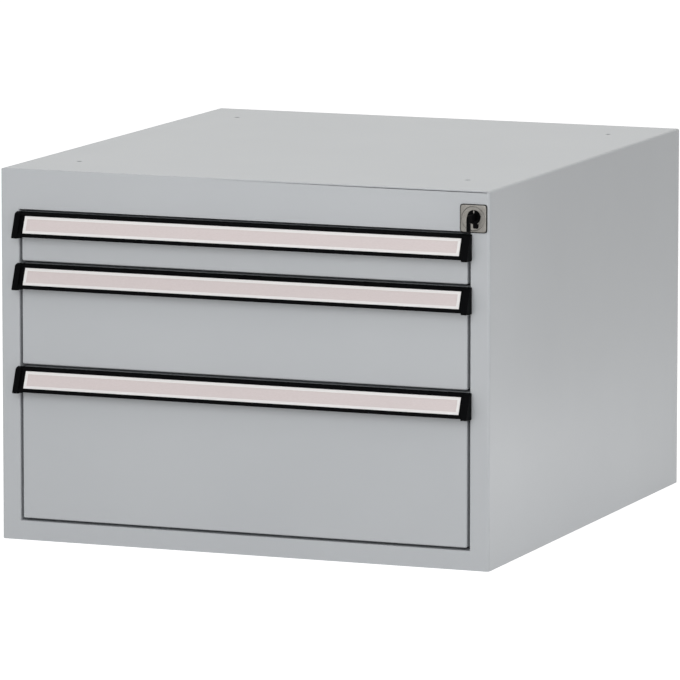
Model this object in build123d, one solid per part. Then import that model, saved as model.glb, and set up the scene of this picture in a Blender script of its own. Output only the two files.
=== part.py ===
from build123d import *
import os
from math import cos, hypot, radians, sin

os.makedirs("parts", exist_ok=True)

# Frame: origin at the centre of the underside, X to the right, Y to the back, Z up.
# The flush front face lies in the plane y = -depth / 2. All sizes are millimetres.

# Casing
width = 500.0
depth = 550.0
sheet = 1.2
corner_radius = 3.0
stile_width = 19.5
stile_return = 20.0
stile_bend = 1.5
bottom_rail_height = 18.7
fascia_height = 38.7
rail_return = 18.0
wrap_leg = 8.0
top_seam = 0.7
seam_end_gap = 3.0
back_flange = 20.0
fixing_inset_x = 50.0
fixing_inset_y = 75.0
fixing_hole_radius = 2.75

# Drawer fronts, from the lowest up
lower_pitch = 150.0
middle_pitch = 100.0
upper_pitch = 50.0
front_gap = 2.6
front_thickness = 18.0
front_lip = 12.0
front_edge_radius = 1.5

# Trays
tray_sheet = 1.0
tray_bend = 0.8
tray_back_gap = 32.0
tray_floor_gap = 5.0
tray_head_gap = 12.0
hem_height = 8.0
hem_thickness = 1.2

# Telescopic ball runners
runner_height = 35.0
runner_width = 12.7
runner_back_gap = 18.0
member_back_gap = 20.0
member_sheet = 1.2
runner_setback = 14.0
runner_lift = 3.0
outer_ball_radius = 1.6
inner_ball_radius = 1.2
race_depth = 0.35
ball_clearance = 0.05
pocket_clearance = 0.15
cage_sheet = 0.6
outer_strip = 1.2
inner_strip = 0.8
member_gap = 1.4
member_side_gap = 0.3
cabinet_tip_gap = 0.7
cage_length = 200.0
balls_per_row = 6
rivet_radius = 2.0
rivet_head_radius = 3.2
rivet_head_height = 1.0
rivet_clearance = 0.05
tray_rivet_inset = 90.0

# Uprights that carry the runners
upright_width = 30.0
front_upright_setback = 35.0
rear_upright_gap = 45.0
upright_top_gap = 10.0
slot_pitch = 25.0
slot_width = 4.0
slot_height = 12.0
slot_offset = 7.0

# Back panel
back_sheet = 1.0
back_rivet_rows = 5
back_rivet_inset = 30.0

# Handles
handle_overlap = 2.0
handle_top_gap = 0.7
handle_reach_top = 5.5
handle_reach_bottom = 14.5
handle_top_drop = 2.2
handle_height = 23.5
handle_wall = 2.6
handle_top_wall = 2.2
handle_flange = 2.6
handle_flange_height = 12.0
cap_thickness = 6.0
cap_margin = 0.8
cap_round = 1.2
cap_foot = 1.4
cap_heel = 2.2
cap_standoff = 0.4
label_top_lip = 1.6
label_window = 17.4
label_lip_thickness = 0.7
label_undercut = 0.9
label_thickness = 0.5
label_clearance = 0.05
label_left_gap = 4.6
label_right_gap = 2.9
screw_radius = 2.0
screw_head_radius = 3.6
screw_head_height = 2.0
screw_grip = 2.2
screw_recess = 1.0
screw_recess_depth = 1.0
handle_screw_inset = 67.5
handle_screw_drop = 7.0
tray_screw_inset = 88.3
tray_screw_lift = 10.0

# Central lock
rosette_side_gap = 2.5
rosette_overhang = 0.8
rosette_size = 27.0
rosette_sheet = 1.6
rosette_thickness = 2.6
rosette_corner = 2.0
rosette_chamfer = 0.6
rosette_collar_radius = 11.8
rosette_collar_slope = 0.8
face_tab_width = 5.5
face_tab_shift = 1.9
face_tab_drop = 10.8
face_tab_sheet = 0.4
plug_shift = 1.0
plug_rise = 1.6
plug_radius = 6.5
plug_clearance = 0.05
plug_proud = 0.3
housing_radius = 8.5
housing_clearance = 0.1
housing_length = 22.0
nut_across_flats = 20.5
nut_thickness = 4.0
keyway_width = 2.4
keyway_height = 5.6
keyway_depth = 15.0
key_thickness = 2.0
key_height = 5.0
key_insertion = 13.0
key_bow_gap = 0.4
key_bow_grip = 6.5
key_bow_thickness = 3.0
key_bow_corner = 1.4
key_bow_bend = 4.0
key_stem_length = 11.7
key_stem_height = 6.0
key_lever_depth = 3.6
key_lever_drop = 12.2
cam_radius = 8.0
cam_thickness = 3.0
cam_gap = 0.3
crank_radius = 4.25
crank_pin_radius = 1.5
crank_start_deg = -45.0
crank_slot_clearance = 0.5
plug_tail_size = 7.0
crank_pin_end = 2.0
bar_setback = 26.0
bar_thickness = 2.0
bar_lead = 0.5
bar_side_gap = 1.3
bar_foot_gap = 12.0
bar_head = 8.0
hook_height = 5.4
hook_entry = 6.5
hook_seat = 8.0
hook_thickness = 2.0
hook_runner_gap = 1.0
catch_gap = 0.6
catch_height = 5.0
catch_thickness = 2.0
catch_plate = 1.5
catch_length = 20.0
catch_side_gap = 2.0
catch_overlap = 4.0
hook_to_catch = 1.0
guide_height = 14.0
guide_wall = 1.5
guide_depth_wall = 2.7
guide_clearance = 0.3

# Derived places
pitches = [lower_pitch, middle_pitch, upper_pitch]
drawer_names = ["lower", "middle", "upper"]
height = bottom_rail_height + front_gap + sum(pitches) + fascia_height
drawer_bases = [bottom_rail_height + front_gap / 2 + sum(pitches[:i]) for i in range(len(pitches))]
front_y = -depth / 2
back_y = depth / 2
half_width = width / 2
inner_half = half_width - sheet
opening_half = half_width - stile_width
opening_bottom = bottom_rail_height
opening_top = height - fascia_height
panel_half = opening_half - front_gap
panel_back_y = front_y + front_thickness
tray_half = opening_half - runner_width
tray_front_y = panel_back_y
tray_back_y = back_y - tray_back_gap
runner_front_y = panel_back_y + runner_setback
runner_back_y = back_y - runner_back_gap
member_back_y = runner_back_y - member_back_gap
back_panel_y = back_y - sheet
cage_front_y = (runner_front_y + member_back_y - cage_length) / 2
handle_half = opening_half + handle_overlap - cap_thickness
over = 5.0
place_tolerance = 0.01

# Runner section: distances inward from the opening's side, and half heights
middle_web = (member_sheet + member_gap, 2 * member_sheet + member_gap)
drawer_web = (runner_width - member_sheet, runner_width)
cabinet_tip = drawer_web[0] - cabinet_tip_gap
middle_tip = drawer_web[0] - member_side_gap
drawer_tip = middle_web[1] + member_gap
cage_web_gap = (member_gap - cage_sheet) / 2
outer_cage_web = (member_sheet + cage_web_gap, member_sheet + cage_web_gap + cage_sheet)
inner_cage_web = (middle_web[1] + cage_web_gap, middle_web[1] + cage_web_gap + cage_sheet)
race_inward = (drawer_tip + cabinet_tip) / 2
race_bite = race_depth - ball_clearance
outer_ball_z = runner_height / 2 - member_sheet + race_bite - outer_ball_radius
middle_half = outer_ball_z - outer_ball_radius + race_bite
inner_ball_z = middle_half - member_sheet + race_bite - inner_ball_radius
drawer_half = inner_ball_z - inner_ball_radius + race_bite


def block(x_range, y_range, z_range):
    """A box between two values on each axis."""
    size = [high - low for low, high in (x_range, y_range, z_range)]
    middle = [(high + low) / 2 for low, high in (x_range, y_range, z_range)]
    return Pos(*middle) * Box(*size)


def rod(start, end, radius):
    """A round bar from one point to another."""
    direction = Vector(*end) - Vector(*start)
    face = Plane(origin=start, z_dir=direction) * Circle(radius)
    return extrude(face, amount=direction.length)


def taper(start, end, start_radius, end_radius):
    """A cone frustum from one point to another."""
    direction = Vector(*end) - Vector(*start)
    centre = Plane(origin=start, z_dir=direction)
    return centre * Pos(0, 0, direction.length / 2) * Cone(start_radius, end_radius, direction.length)


def profile_along_x(points, x_range):
    """A closed outline of (y, z) points, drawn out along X."""
    face = Plane.YZ * make_face(Polyline(*points, close=True))
    return Pos(x_range[0], 0, 0) * extrude(face, amount=x_range[1] - x_range[0])


def mirrored(shape):
    """The same shape on the other side of the unit."""
    return mirror(shape, about=Plane.YZ)


def both_sides(shape):
    return [shape, mirrored(shape)]


def both_sides_of_all(shapes):
    return [piece for shape in shapes for piece in both_sides(shape)]


def save(name, shapes):
    """Write one node, as one solid or as a group of separate solids."""
    solids = [solid for shape in shapes for solid in shape.solids()]
    node = solids[0] if len(solids) == 1 else Compound(solids)
    export_step(node, f"parts/{name}.step")


def edges_near(shape, axis, place):
    """The edges whose middle lies at one place along an axis (X, Y or Z)."""
    return ShapeList(
        [edge for edge in shape.edges() if abs(getattr(edge.center(), axis) - place) < place_tolerance]
    )


# The outer skin of the casing, cut into its panels below
def rounded_body(inset, radius):
    """The casing's block, with rounded upright, side and back edges and a crisp top front edge."""
    body = block(
        (-half_width + inset, half_width - inset),
        (front_y + inset, back_y - inset),
        (inset - over, height - inset),
    )
    top = edges_near(body, "Z", height - inset)
    upright_round = fillet(body.edges().filter_by(Axis.Z), radius)
    side_round = fillet(top.filter_by(Axis.Y), radius)
    back_round = fillet(top.filter_by(Axis.X).sort_by(Axis.Y)[-1], radius)
    return upright_round & side_round & back_round


def casing_skin():
    skin = rounded_body(0, corner_radius) - rounded_body(sheet, corner_radius - sheet)
    return skin - block((-width, width), (-depth, depth), (-2 * over, 0))


# Casing panels
def front_piece(z_range):
    """A strip of the skin's front, with the two corner bends and a short leg on each side."""
    return casing_skin() & block((-width, width), (front_y - over, front_y + wrap_leg), z_range)


def fascia_panel():
    z_top = height - sheet
    panel = front_piece((opening_top, z_top))
    seam_half = half_width - seam_end_gap
    seam_z = (z_top - top_seam, z_top + over)
    panel -= block((-seam_half, seam_half), (front_y - over, front_y + sheet), seam_z)
    panel += block(
        (-opening_half, lock_x - nut_corner_reach - sheet),
        (front_y + sheet, front_y + rail_return),
        (opening_top, opening_top + sheet),
    )
    hole_start = (lock_x, front_y - over, lock_z)
    return panel - rod(hole_start, (lock_x, front_y + over, lock_z), housing_hole_radius)


def bottom_rail():
    rail = front_piece((0, bottom_rail_height))
    rail += block(
        (-opening_half, opening_half),
        (front_y + sheet, front_y + rail_return),
        (bottom_rail_height - sheet, bottom_rail_height),
    )
    return rail


def top_panel():
    panel = casing_skin() & block((-width, width), (-depth, depth), (height - wrap_leg, height + over))
    panel -= block((-width, width), (front_y - over, front_y + wrap_leg), (0, height - sheet))
    for x in (-half_width + fixing_inset_x, half_width - fixing_inset_x):
        for y in (front_y + fixing_inset_y, back_y - fixing_inset_y):
            panel -= rod((x, y, height - over), (x, y, height + over), fixing_hole_radius)
    return panel


def side_panel():
    """The right side: flat wall, folded front stile with its return, and back flange."""
    skin = casing_skin()
    wall_top = height - wrap_leg
    stile = skin & block((opening_half, width), (-depth, 0), (opening_bottom, opening_top))
    stile += block(
        (opening_half, opening_half + sheet),
        (front_y, front_y + stile_return),
        (opening_bottom, opening_top),
    )
    inner_edges = edges_near(stile, "X", opening_half).filter_by(Axis.Z)
    stile = fillet(inner_edges.sort_by(Axis.Y)[0], stile_bend)
    wall = skin & block((half_width - back_flange, width), (front_y + wrap_leg, depth), (0, wall_top))
    return stile + wall - back_rivet_holes()


def bottom_panel():
    panel = block((-inner_half, inner_half), (front_y + sheet, back_panel_y - back_sheet), (0, sheet))
    return fillet(panel.edges().filter_by(Axis.Z), corner_radius)


def back_panel():
    half = inner_half - corner_radius
    z_range = (0, height - sheet - corner_radius)
    panel = block((-half, half), (back_panel_y - back_sheet, back_panel_y), z_range)
    for hole in both_sides(back_rivet_holes()):
        panel -= hole
    return panel


def back_rivet_places():
    """Heights of the rivets that hold the back panel on the side flanges."""
    first = back_rivet_inset
    step = (height - 2 * back_rivet_inset) / (back_rivet_rows - 1)
    return [first + step * i for i in range(back_rivet_rows)]


def back_rivet_holes():
    x = half_width - back_flange / 2
    radius = rivet_radius + rivet_clearance
    return Compound([rod((x, back_y - over, z), (x, back_y + over, z), radius) for z in back_rivet_places()])


def back_rivets():
    """Tapered head outside, shank through both sheets, set head inside."""
    x = half_width - back_flange / 2
    inside_y = back_panel_y - back_sheet
    rivets = []
    for z in back_rivet_places():
        rivet = rod((x, inside_y, z), (x, back_y, z), rivet_radius)
        rivet += taper((x, back_y, z), (x, back_y + rivet_head_height, z), rivet_head_radius, rivet_radius)
        rivet += rod((x, inside_y - rivet_head_height, z), (x, inside_y, z), rivet_head_radius)
        rivets += both_sides(rivet)
    return rivets


# Uprights and runners, drawn for the right side; inward = distance from the opening's side
def at_side(inward):
    return opening_half - inward


def side_block(inward_range, y_range, z_range):
    return block((at_side(inward_range[1]), at_side(inward_range[0])), y_range, z_range)


def runner_centre(base):
    return base + runner_lift + runner_height / 2


def upright(y_front):
    """A channel between the side wall and the runners, with a column of slots."""
    y_back = y_front + upright_width
    z_range = (sheet, height - upright_top_gap)
    outer = block((opening_half, inner_half), (y_front, y_back), z_range)
    hollow_x = (opening_half + sheet, inner_half + over)
    channel = outer - block(hollow_x, (y_front + sheet, y_back - sheet), (-over, height))
    slot_y = y_front + upright_width / 2 - slot_offset
    slot_z = sheet + slot_pitch
    while slot_z + slot_height / 2 < height - upright_top_gap - slot_height:
        channel -= block(
            (opening_half - over, opening_half + over),
            (slot_y - slot_width / 2, slot_y + slot_width / 2),
            (slot_z - slot_height / 2, slot_z + slot_height / 2),
        )
        slot_z += slot_pitch
    for y, z in runner_rivet_places():
        if y_front < y < y_back:
            hole_radius = rivet_radius + rivet_clearance
            channel -= rod((opening_half - over, y, z), (opening_half + over, y, z), hole_radius)
    return channel


def upright_fronts():
    return [front_y + front_upright_setback, back_y - rear_upright_gap - upright_width]


def runner_uprights():
    return [piece for y_front in upright_fronts() for piece in both_sides(upright(y_front))]


def runner_rivet_places():
    """Middle of each rivet between a runner and an upright, as (y, z)."""
    columns = [y_front + upright_width / 2 + slot_offset for y_front in upright_fronts()]
    return [(y, runner_centre(base)) for base in drawer_bases for y in columns]


def channel_section(web, tip_inward, half_height, thickness, y_range, centre_z):
    """A channel with one web and two flanges; web is its (near, far) inward range."""
    low, high = min(web[0], tip_inward), max(web[1], tip_inward)
    z_range = (centre_z - half_height, centre_z + half_height)
    inner_z = (centre_z - half_height + thickness, centre_z + half_height - thickness)
    channel = side_block((low, high), y_range, z_range)
    if tip_inward > web[1]:
        return channel - side_block((web[1], high + over), y_range, inner_z)
    return channel - side_block((low - over, web[0]), y_range, inner_z)


def race_cut(shape, centre_z, offset, radius, y_range):
    """Cut the two ball races, above and below the runner's middle."""
    x = at_side(race_inward)
    for z in (centre_z - offset, centre_z + offset):
        shape -= rod((x, y_range[0] - over, z), (x, y_range[1] + over, z), radius)
    return shape


def cabinet_member(base):
    y_range = (runner_front_y, runner_back_y)
    z = runner_centre(base)
    member = channel_section((0, member_sheet), cabinet_tip, runner_height / 2, member_sheet, y_range, z)
    member = race_cut(member, z, outer_ball_z, outer_ball_radius + ball_clearance, y_range)
    for y, rivet_z in runner_rivet_places():
        if rivet_z == z:
            shank_end = at_side(-over)
            member -= rod((at_side(over), y, z), (shank_end, y, z), rivet_radius + rivet_clearance)
            member -= countersink(y, z, rivet_clearance)
    return member


def countersink(y, z, clearance):
    near = at_side(member_sheet)
    far = at_side(member_sheet - rivet_head_height)
    return taper((near, y, z), (far, y, z), rivet_head_radius + clearance, rivet_radius + clearance)


def runner_rivets():
    rivets = []
    for y, z in runner_rivet_places():
        rivet = rod((at_side(member_sheet), y, z), (at_side(-sheet), y, z), rivet_radius)
        rivet += countersink(y, z, 0)
        rivet += rod((at_side(-sheet), y, z), (at_side(-sheet - rivet_head_height), y, z), rivet_head_radius)
        rivets += both_sides(rivet)
    return rivets


def middle_member(base):
    y_range = (runner_front_y, member_back_y)
    z = runner_centre(base)
    member = channel_section(middle_web, middle_tip, middle_half, member_sheet, y_range, z)
    member = race_cut(member, z, outer_ball_z, outer_ball_radius + ball_clearance, y_range)
    return race_cut(member, z, inner_ball_z, inner_ball_radius + ball_clearance, y_range)


def drawer_member(base):
    y_range = (runner_front_y, member_back_y)
    z = runner_centre(base)
    member = channel_section(drawer_web, drawer_tip, drawer_half, member_sheet, y_range, z)
    member = race_cut(member, z, inner_ball_z, inner_ball_radius + ball_clearance, y_range)
    far_x = at_side(runner_width + over)
    for y in tray_rivet_places():
        member -= rod((at_side(0), y, z), (far_x, y, z), rivet_radius + rivet_clearance)
    return member


def ball_places():
    """Places along Y of the balls in one row of a cage."""
    first = cage_front_y + cage_length / balls_per_row / 2
    return [first + cage_length / balls_per_row * i for i in range(balls_per_row)]


def ball_cage(base, web, tip_inward, ball_z, ball_radius, strip):
    """A thin channel whose two flanges hold a row of balls each, and the balls."""
    z = runner_centre(base)
    y_range = (cage_front_y, cage_front_y + cage_length)
    cage = channel_section(web, tip_inward, ball_z + strip / 2, strip, y_range, z)
    balls = []
    for side in (-1, 1):
        for y in ball_places():
            centre = (at_side(race_inward), y, z + side * ball_z)
            cage -= Pos(*centre) * Sphere(ball_radius + pocket_clearance)
            balls.append(Pos(*centre) * Sphere(ball_radius))
    return [cage] + balls


def outer_ball_cage(base):
    tip = cabinet_tip - cage_sheet
    return ball_cage(base, outer_cage_web, tip, outer_ball_z, outer_ball_radius, outer_strip)


def inner_ball_cage(base):
    tip = middle_tip - member_side_gap
    return ball_cage(base, inner_cage_web, tip, inner_ball_z, inner_ball_radius, inner_strip)


# Drawers
def tray_rivet_places():
    return [runner_front_y + tray_rivet_inset, member_back_y - tray_rivet_inset]


def tray_top(base, pitch):
    return base + pitch - tray_head_gap


def tray(base, pitch):
    """The floor sheet and the two side walls, each with a hem inside its top edge."""
    floor_z = base + tray_floor_gap
    top_z = tray_top(base, pitch)
    inner = tray_half - tray_sheet
    floor = block((-inner, inner), (tray_front_y, tray_back_y), (floor_z, floor_z + tray_sheet))
    wall = block((inner, tray_half), (tray_front_y, tray_back_y), (floor_z, top_z))
    outer_edges = edges_near(wall, "X", tray_half).filter_by(Axis.Y)
    wall = fillet(outer_edges.sort_by(Axis.Z)[0], tray_bend)
    wall += block(
        (inner - hem_thickness, inner),
        (tray_front_y + tray_sheet, tray_back_y - tray_sheet),
        (top_z - hem_height, top_z),
    )
    z = runner_centre(base)
    for y in tray_rivet_places():
        wall -= rod((-width, y, z), (width, y, z), rivet_radius + rivet_clearance)
    return [floor] + both_sides(wall)


def tray_ends(base, pitch):
    """The two end walls of a tray, at its front and its back."""
    half = tray_half - tray_sheet
    z_range = (base + tray_floor_gap + tray_sheet, tray_top(base, pitch))
    front = block((-half, half), (tray_front_y, tray_front_y + tray_sheet), z_range)
    back = block((-half, half), (tray_back_y - tray_sheet, tray_back_y), z_range)
    for x in tray_screw_places():
        y_near = tray_front_y - over
        z = base + tray_screw_lift
        front -= rod((x, y_near, z), (x, tray_front_y + over, z), screw_radius + rivet_clearance)
    return [front, back]


def tray_screw_places():
    reach = tray_half - tray_screw_inset
    return [-reach, 0, reach]


def handle_screw_places():
    reach = handle_half - handle_screw_inset
    return [-reach, 0, reach]


def front_panel(base, pitch):
    """A folded pan with a flat face, four returns and a lip round its open back."""
    z_range = (base + front_gap / 2, base + pitch - front_gap / 2)
    pan = block((-panel_half, panel_half), (front_y, panel_back_y), z_range)
    pan = fillet(pan.faces().sort_by(Axis.Y)[0].edges(), front_edge_radius)
    inner_z = (z_range[0] + sheet, z_range[1] - sheet)
    window_z = (z_range[0] + front_lip, z_range[1] - front_lip)
    inner = panel_half - sheet
    window = panel_half - front_lip
    pan -= block((-inner, inner), (front_y + sheet, panel_back_y - sheet), inner_z)
    pan -= block((-window, window), (front_y + sheet, panel_back_y + over), window_z)
    hole = screw_radius + rivet_clearance
    for x in handle_screw_places():
        z = handle_top(base, pitch) - handle_screw_drop
        pan -= rod((x, front_y - over, z), (x, front_y + over, z), hole)
    for x in tray_screw_places():
        z = base + tray_screw_lift
        pan -= rod((x, panel_back_y - over, z), (x, panel_back_y + over, z), hole)
    return pan


def screw(x, head_y, tip_y, z):
    """A pan-head screw along Y; its head lies behind head_y and its tip is at tip_y."""
    shape = rod((x, tip_y, z), (x, head_y, z), screw_radius)
    shape += rod((x, head_y, z), (x, head_y + screw_head_height, z), screw_head_radius)
    recess_x = (x - screw_recess, x + screw_recess)
    recess_y = head_y + screw_head_height - screw_recess_depth
    return shape - block(recess_x, (recess_y, recess_y + over), (z - screw_recess, z + screw_recess))


def drawer_screws(base, pitch):
    """Screws from inside the front into the handle, and from the tray into the front."""
    inside_y = front_y + sheet
    shank = inside_y - (sheet + screw_grip)
    handle_z = handle_top(base, pitch) - handle_screw_drop
    screws = [screw(x, inside_y, shank, handle_z) for x in handle_screw_places()]
    wall_y = tray_front_y + tray_sheet
    shank = wall_y - (tray_sheet + sheet + screw_grip)
    screws += [screw(x, wall_y, shank, base + tray_screw_lift) for x in tray_screw_places()]
    return screws


def tray_rivets(base):
    """Rivets between the drawer members of the runners and the tray's walls."""
    z = runner_centre(base)
    rivets = []
    web_inner = at_side(drawer_web[0])
    wall_inner = tray_half - tray_sheet
    for y in tray_rivet_places():
        rivet = rod((wall_inner, y, z), (web_inner, y, z), rivet_radius)
        head_top = (web_inner + rivet_head_height, y, z)
        rivet += taper((web_inner, y, z), head_top, rivet_head_radius, rivet_radius)
        rivet += rod((wall_inner - rivet_head_height, y, z), (wall_inner, y, z), rivet_head_radius)
        rivets += both_sides(rivet)
    return rivets


# Handles: outlines as (out, down) from the handle's top edge on the drawer front
def handle_top(base, pitch):
    return base + pitch - handle_top_gap


def outline_to_yz(points, top_z):
    return [(front_y - out, top_z - down) for out, down in points]


def label_frame():
    """Start, direction and inward normal of the sloping label face."""
    run = handle_reach_bottom - handle_reach_top
    drop = handle_height - handle_top_drop
    length = hypot(run, drop)
    along = (run / length, drop / length)
    return along, (-along[1], along[0]), length


def on_label_face(distance, depth_in):
    along, inward, _ = label_frame()
    out = handle_reach_top + along[0] * distance + inward[0] * depth_in
    down = handle_top_drop + along[1] * distance + inward[1] * depth_in
    return (out, down)


def label_slab(start, end, depth_range):
    near, far = depth_range
    corners = [(start, near), (end, near), (end, far), (start, far)]
    return [on_label_face(distance, depth_in) for distance, depth_in in corners]


def wall_reach(down):
    """How far out the inner side of the label wall is at one height."""
    along, inward, _ = label_frame()
    foot = on_label_face(0, handle_wall)
    return foot[0] + along[0] / along[1] * (down - foot[1])


def handle_outline():
    under_top = handle_top_drop + handle_top_wall
    return [
        (0, 0),
        (handle_reach_top, handle_top_drop),
        (handle_reach_bottom, handle_height),
        (wall_reach(handle_height), handle_height),
        (wall_reach(under_top), under_top),
        (handle_flange, handle_top_wall),
        (handle_flange, handle_flange_height),
        (0, handle_flange_height),
    ]


def handle_rail(base, pitch):
    top_z = handle_top(base, pitch)
    half = handle_half
    rail = profile_along_x(outline_to_yz(handle_outline(), top_z), (-half, half))
    window_end = label_top_lip + label_window
    groove = (label_lip_thickness, label_lip_thickness + label_thickness + label_clearance)
    window = label_slab(label_top_lip, window_end, (-over, groove[1]))
    undercut = label_slab(label_top_lip - label_undercut, window_end + label_undercut, groove)
    for cut in (window, undercut):
        rail -= profile_along_x(outline_to_yz(cut, top_z), (-half - over, half + over))
    for x in handle_screw_places():
        z = top_z - handle_screw_drop
        rail -= rod((x, front_y - screw_grip, z), (x, front_y + over, z), screw_radius + rivet_clearance)
    return rail


def label_strip(base, pitch):
    floor_depth = label_lip_thickness + label_thickness + label_clearance
    edge = label_undercut - label_clearance
    start = label_top_lip - edge
    end = label_top_lip + label_window + edge
    slab = label_slab(start, end, (floor_depth - label_thickness, floor_depth))
    x_range = (label_left_gap - handle_half, handle_half - label_right_gap)
    return profile_along_x(outline_to_yz(slab, handle_top(base, pitch)), x_range)


def cap_outline():
    return [
        (cap_standoff, 0),
        (handle_reach_top + cap_margin, handle_top_drop - cap_margin),
        (handle_reach_bottom + cap_margin, handle_height),
        (handle_reach_bottom + cap_margin / 2, handle_height + cap_foot),
        (cap_standoff, handle_height + cap_heel),
    ]


def handle_caps(base, pitch):
    x_range = (handle_half, handle_half + cap_thickness)
    cap = profile_along_x(outline_to_yz(cap_outline(), handle_top(base, pitch)), x_range)
    cap = fillet(edges_near(cap, "X", x_range[1]), cap_round)
    return both_sides(cap)


# Central lock
rosette_x = half_width - rosette_side_gap - rosette_size / 2
rosette_z = opening_top - rosette_overhang + rosette_size / 2
lock_x = rosette_x + plug_shift
lock_z = rosette_z + plug_rise
nut_corner_reach = nut_across_flats / 2 / cos(radians(30))
housing_hole_radius = housing_radius + housing_clearance
rosette_front_y = front_y - rosette_thickness
plug_front_y = rosette_front_y - plug_proud
housing_back_y = front_y + housing_length
cam_front_y = housing_back_y + cam_gap
cam_back_y = cam_front_y + cam_thickness
bar_front_y = front_y + bar_setback
bar_x = (lock_x - bar_lead, inner_half - bar_side_gap)
pin_x = lock_x + crank_radius * cos(radians(crank_start_deg))
pin_z = lock_z + crank_radius * sin(radians(crank_start_deg))


def lock_rosette():
    """A square plate with a round collar, and a raised tab under the plug's face."""
    plate = block(
        (rosette_x - rosette_size / 2, rosette_x + rosette_size / 2),
        (front_y - rosette_sheet, front_y),
        (rosette_z - rosette_size / 2, rosette_z + rosette_size / 2),
    )
    plate = fillet(plate.edges().filter_by(Axis.Y), rosette_corner)
    plate = chamfer(edges_near(plate, "Y", front_y - rosette_sheet), rosette_chamfer)
    plate += taper(
        (rosette_x, front_y - rosette_sheet, rosette_z),
        (rosette_x, rosette_front_y, rosette_z),
        rosette_collar_radius,
        rosette_collar_radius - rosette_collar_slope,
    )
    tab_x = lock_x + face_tab_shift
    plate += block(
        (tab_x - face_tab_width / 2, tab_x + face_tab_width / 2),
        (rosette_front_y - face_tab_sheet, rosette_front_y),
        (lock_z - face_tab_drop, lock_z),
    )
    bore = plug_radius + housing_clearance
    return plate - rod((lock_x, front_y - over, lock_z), (lock_x, front_y + over, lock_z), bore)


def lock_housing():
    axis_start = (lock_x, front_y, lock_z)
    axis_end = (lock_x, housing_back_y, lock_z)
    barrel = rod(axis_start, axis_end, housing_radius)
    return barrel - rod(axis_start, axis_end, plug_radius + plug_clearance)


def lock_nut():
    inner_y = front_y + sheet
    plane = Plane(origin=(lock_x, inner_y, lock_z), x_dir=(1, 0, 0), z_dir=(0, 1, 0))
    nut = extrude(plane * RegularPolygon(nut_across_flats / 2, 6, False), amount=nut_thickness)
    bore_start = (lock_x, inner_y - over, lock_z)
    bore_end = (lock_x, inner_y + nut_thickness + over, lock_z)
    return nut - rod(bore_start, bore_end, housing_hole_radius)


def plug_tail(clearance):
    """The square tail of the plug, which the cam sits on."""
    half = plug_tail_size / 2 + clearance
    return block((lock_x - half, lock_x + half), (cam_front_y, cam_back_y), (lock_z - half, lock_z + half))


def lock_plug():
    plug = rod((lock_x, plug_front_y, lock_z), (lock_x, cam_front_y, lock_z), plug_radius)
    plug -= block(
        (lock_x - keyway_width / 2, lock_x + keyway_width / 2),
        (plug_front_y - over, plug_front_y + keyway_depth),
        (lock_z - keyway_height / 2, lock_z + keyway_height / 2),
    )
    return plug + plug_tail(0)


def key_blade():
    blade_y = (plug_front_y - key_bow_gap - key_bow_grip, plug_front_y + key_insertion)
    return block(
        (lock_x - key_thickness / 2, lock_x + key_thickness / 2),
        blade_y,
        (lock_z - key_height / 2, lock_z + key_height / 2),
    )


def key_bow():
    """The black grip of the key: a stem, and a lever that hangs from its end."""
    x_range = (lock_x - key_bow_thickness / 2, lock_x + key_bow_thickness / 2)
    stem_back = plug_front_y - key_bow_gap
    lever_back = stem_back - key_stem_length
    lever_front = lever_back - key_lever_depth
    top_z = lock_z + key_stem_height / 2
    stem = block(x_range, (lever_back, stem_back), (lock_z - key_stem_height / 2, top_z))
    bow = stem + block(x_range, (lever_front, lever_back), (lock_z - key_lever_drop, top_z))
    outer_edges = edges_near(bow, "Y", lever_front).filter_by(Axis.X).sort_by(Axis.Z)
    bow = fillet(outer_edges[-1], key_bow_bend)
    outer_edges = edges_near(bow, "Z", lock_z - key_lever_drop).filter_by(Axis.X)
    bow = fillet(outer_edges, key_bow_corner)
    return bow - key_blade()


def lock_cam():
    cam = rod((lock_x, cam_front_y, lock_z), (lock_x, cam_back_y, lock_z), cam_radius)
    pin_end_y = bar_front_y + bar_thickness + crank_pin_end
    cam += rod((pin_x, cam_front_y, pin_z), (pin_x, pin_end_y, pin_z), crank_pin_radius)
    return cam - plug_tail(plug_clearance)


def hook_bottom(base):
    return base + runner_lift + runner_height + hook_runner_gap


def lock_bar():
    """The upright bar with the slot that the crank pin moves in."""
    bar = block(
        bar_x,
        (bar_front_y, bar_front_y + bar_thickness),
        (hook_bottom(drawer_bases[0]) - bar_foot_gap, lock_z + bar_head),
    )
    reach = crank_pin_radius + crank_slot_clearance
    slot_x = (pin_x - reach, lock_x + crank_radius + reach)
    return bar - block(slot_x, (bar_front_y - over, bar_front_y + over), (pin_z - reach, pin_z + reach))


def lock_hooks():
    """One plate for each drawer, fixed on the front of the bar and reaching inward."""
    hooks = []
    for base in drawer_bases:
        z_range = (hook_bottom(base), hook_bottom(base) + hook_height)
        y_range = (bar_front_y - hook_thickness, bar_front_y)
        hooks.append(block((opening_half - hook_entry, bar_x[0] + hook_seat), y_range, z_range))
    return hooks


def lock_catch(base):
    """A small angle on the tray's right wall; its tab stands just above the hook."""
    plate_x = (tray_half, tray_half + catch_plate)
    tab_y = bar_front_y + hook_to_catch
    tab_z = hook_bottom(base) + hook_height + catch_gap
    plate_z = (hook_bottom(base) - catch_overlap, tab_z + catch_height)
    plate = block(plate_x, (tab_y, tab_y + catch_length), plate_z)
    tab_x = (tray_half, opening_half - catch_side_gap)
    return plate + block(tab_x, (tab_y, tab_y + catch_thickness), (tab_z, tab_z + catch_height))


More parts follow.
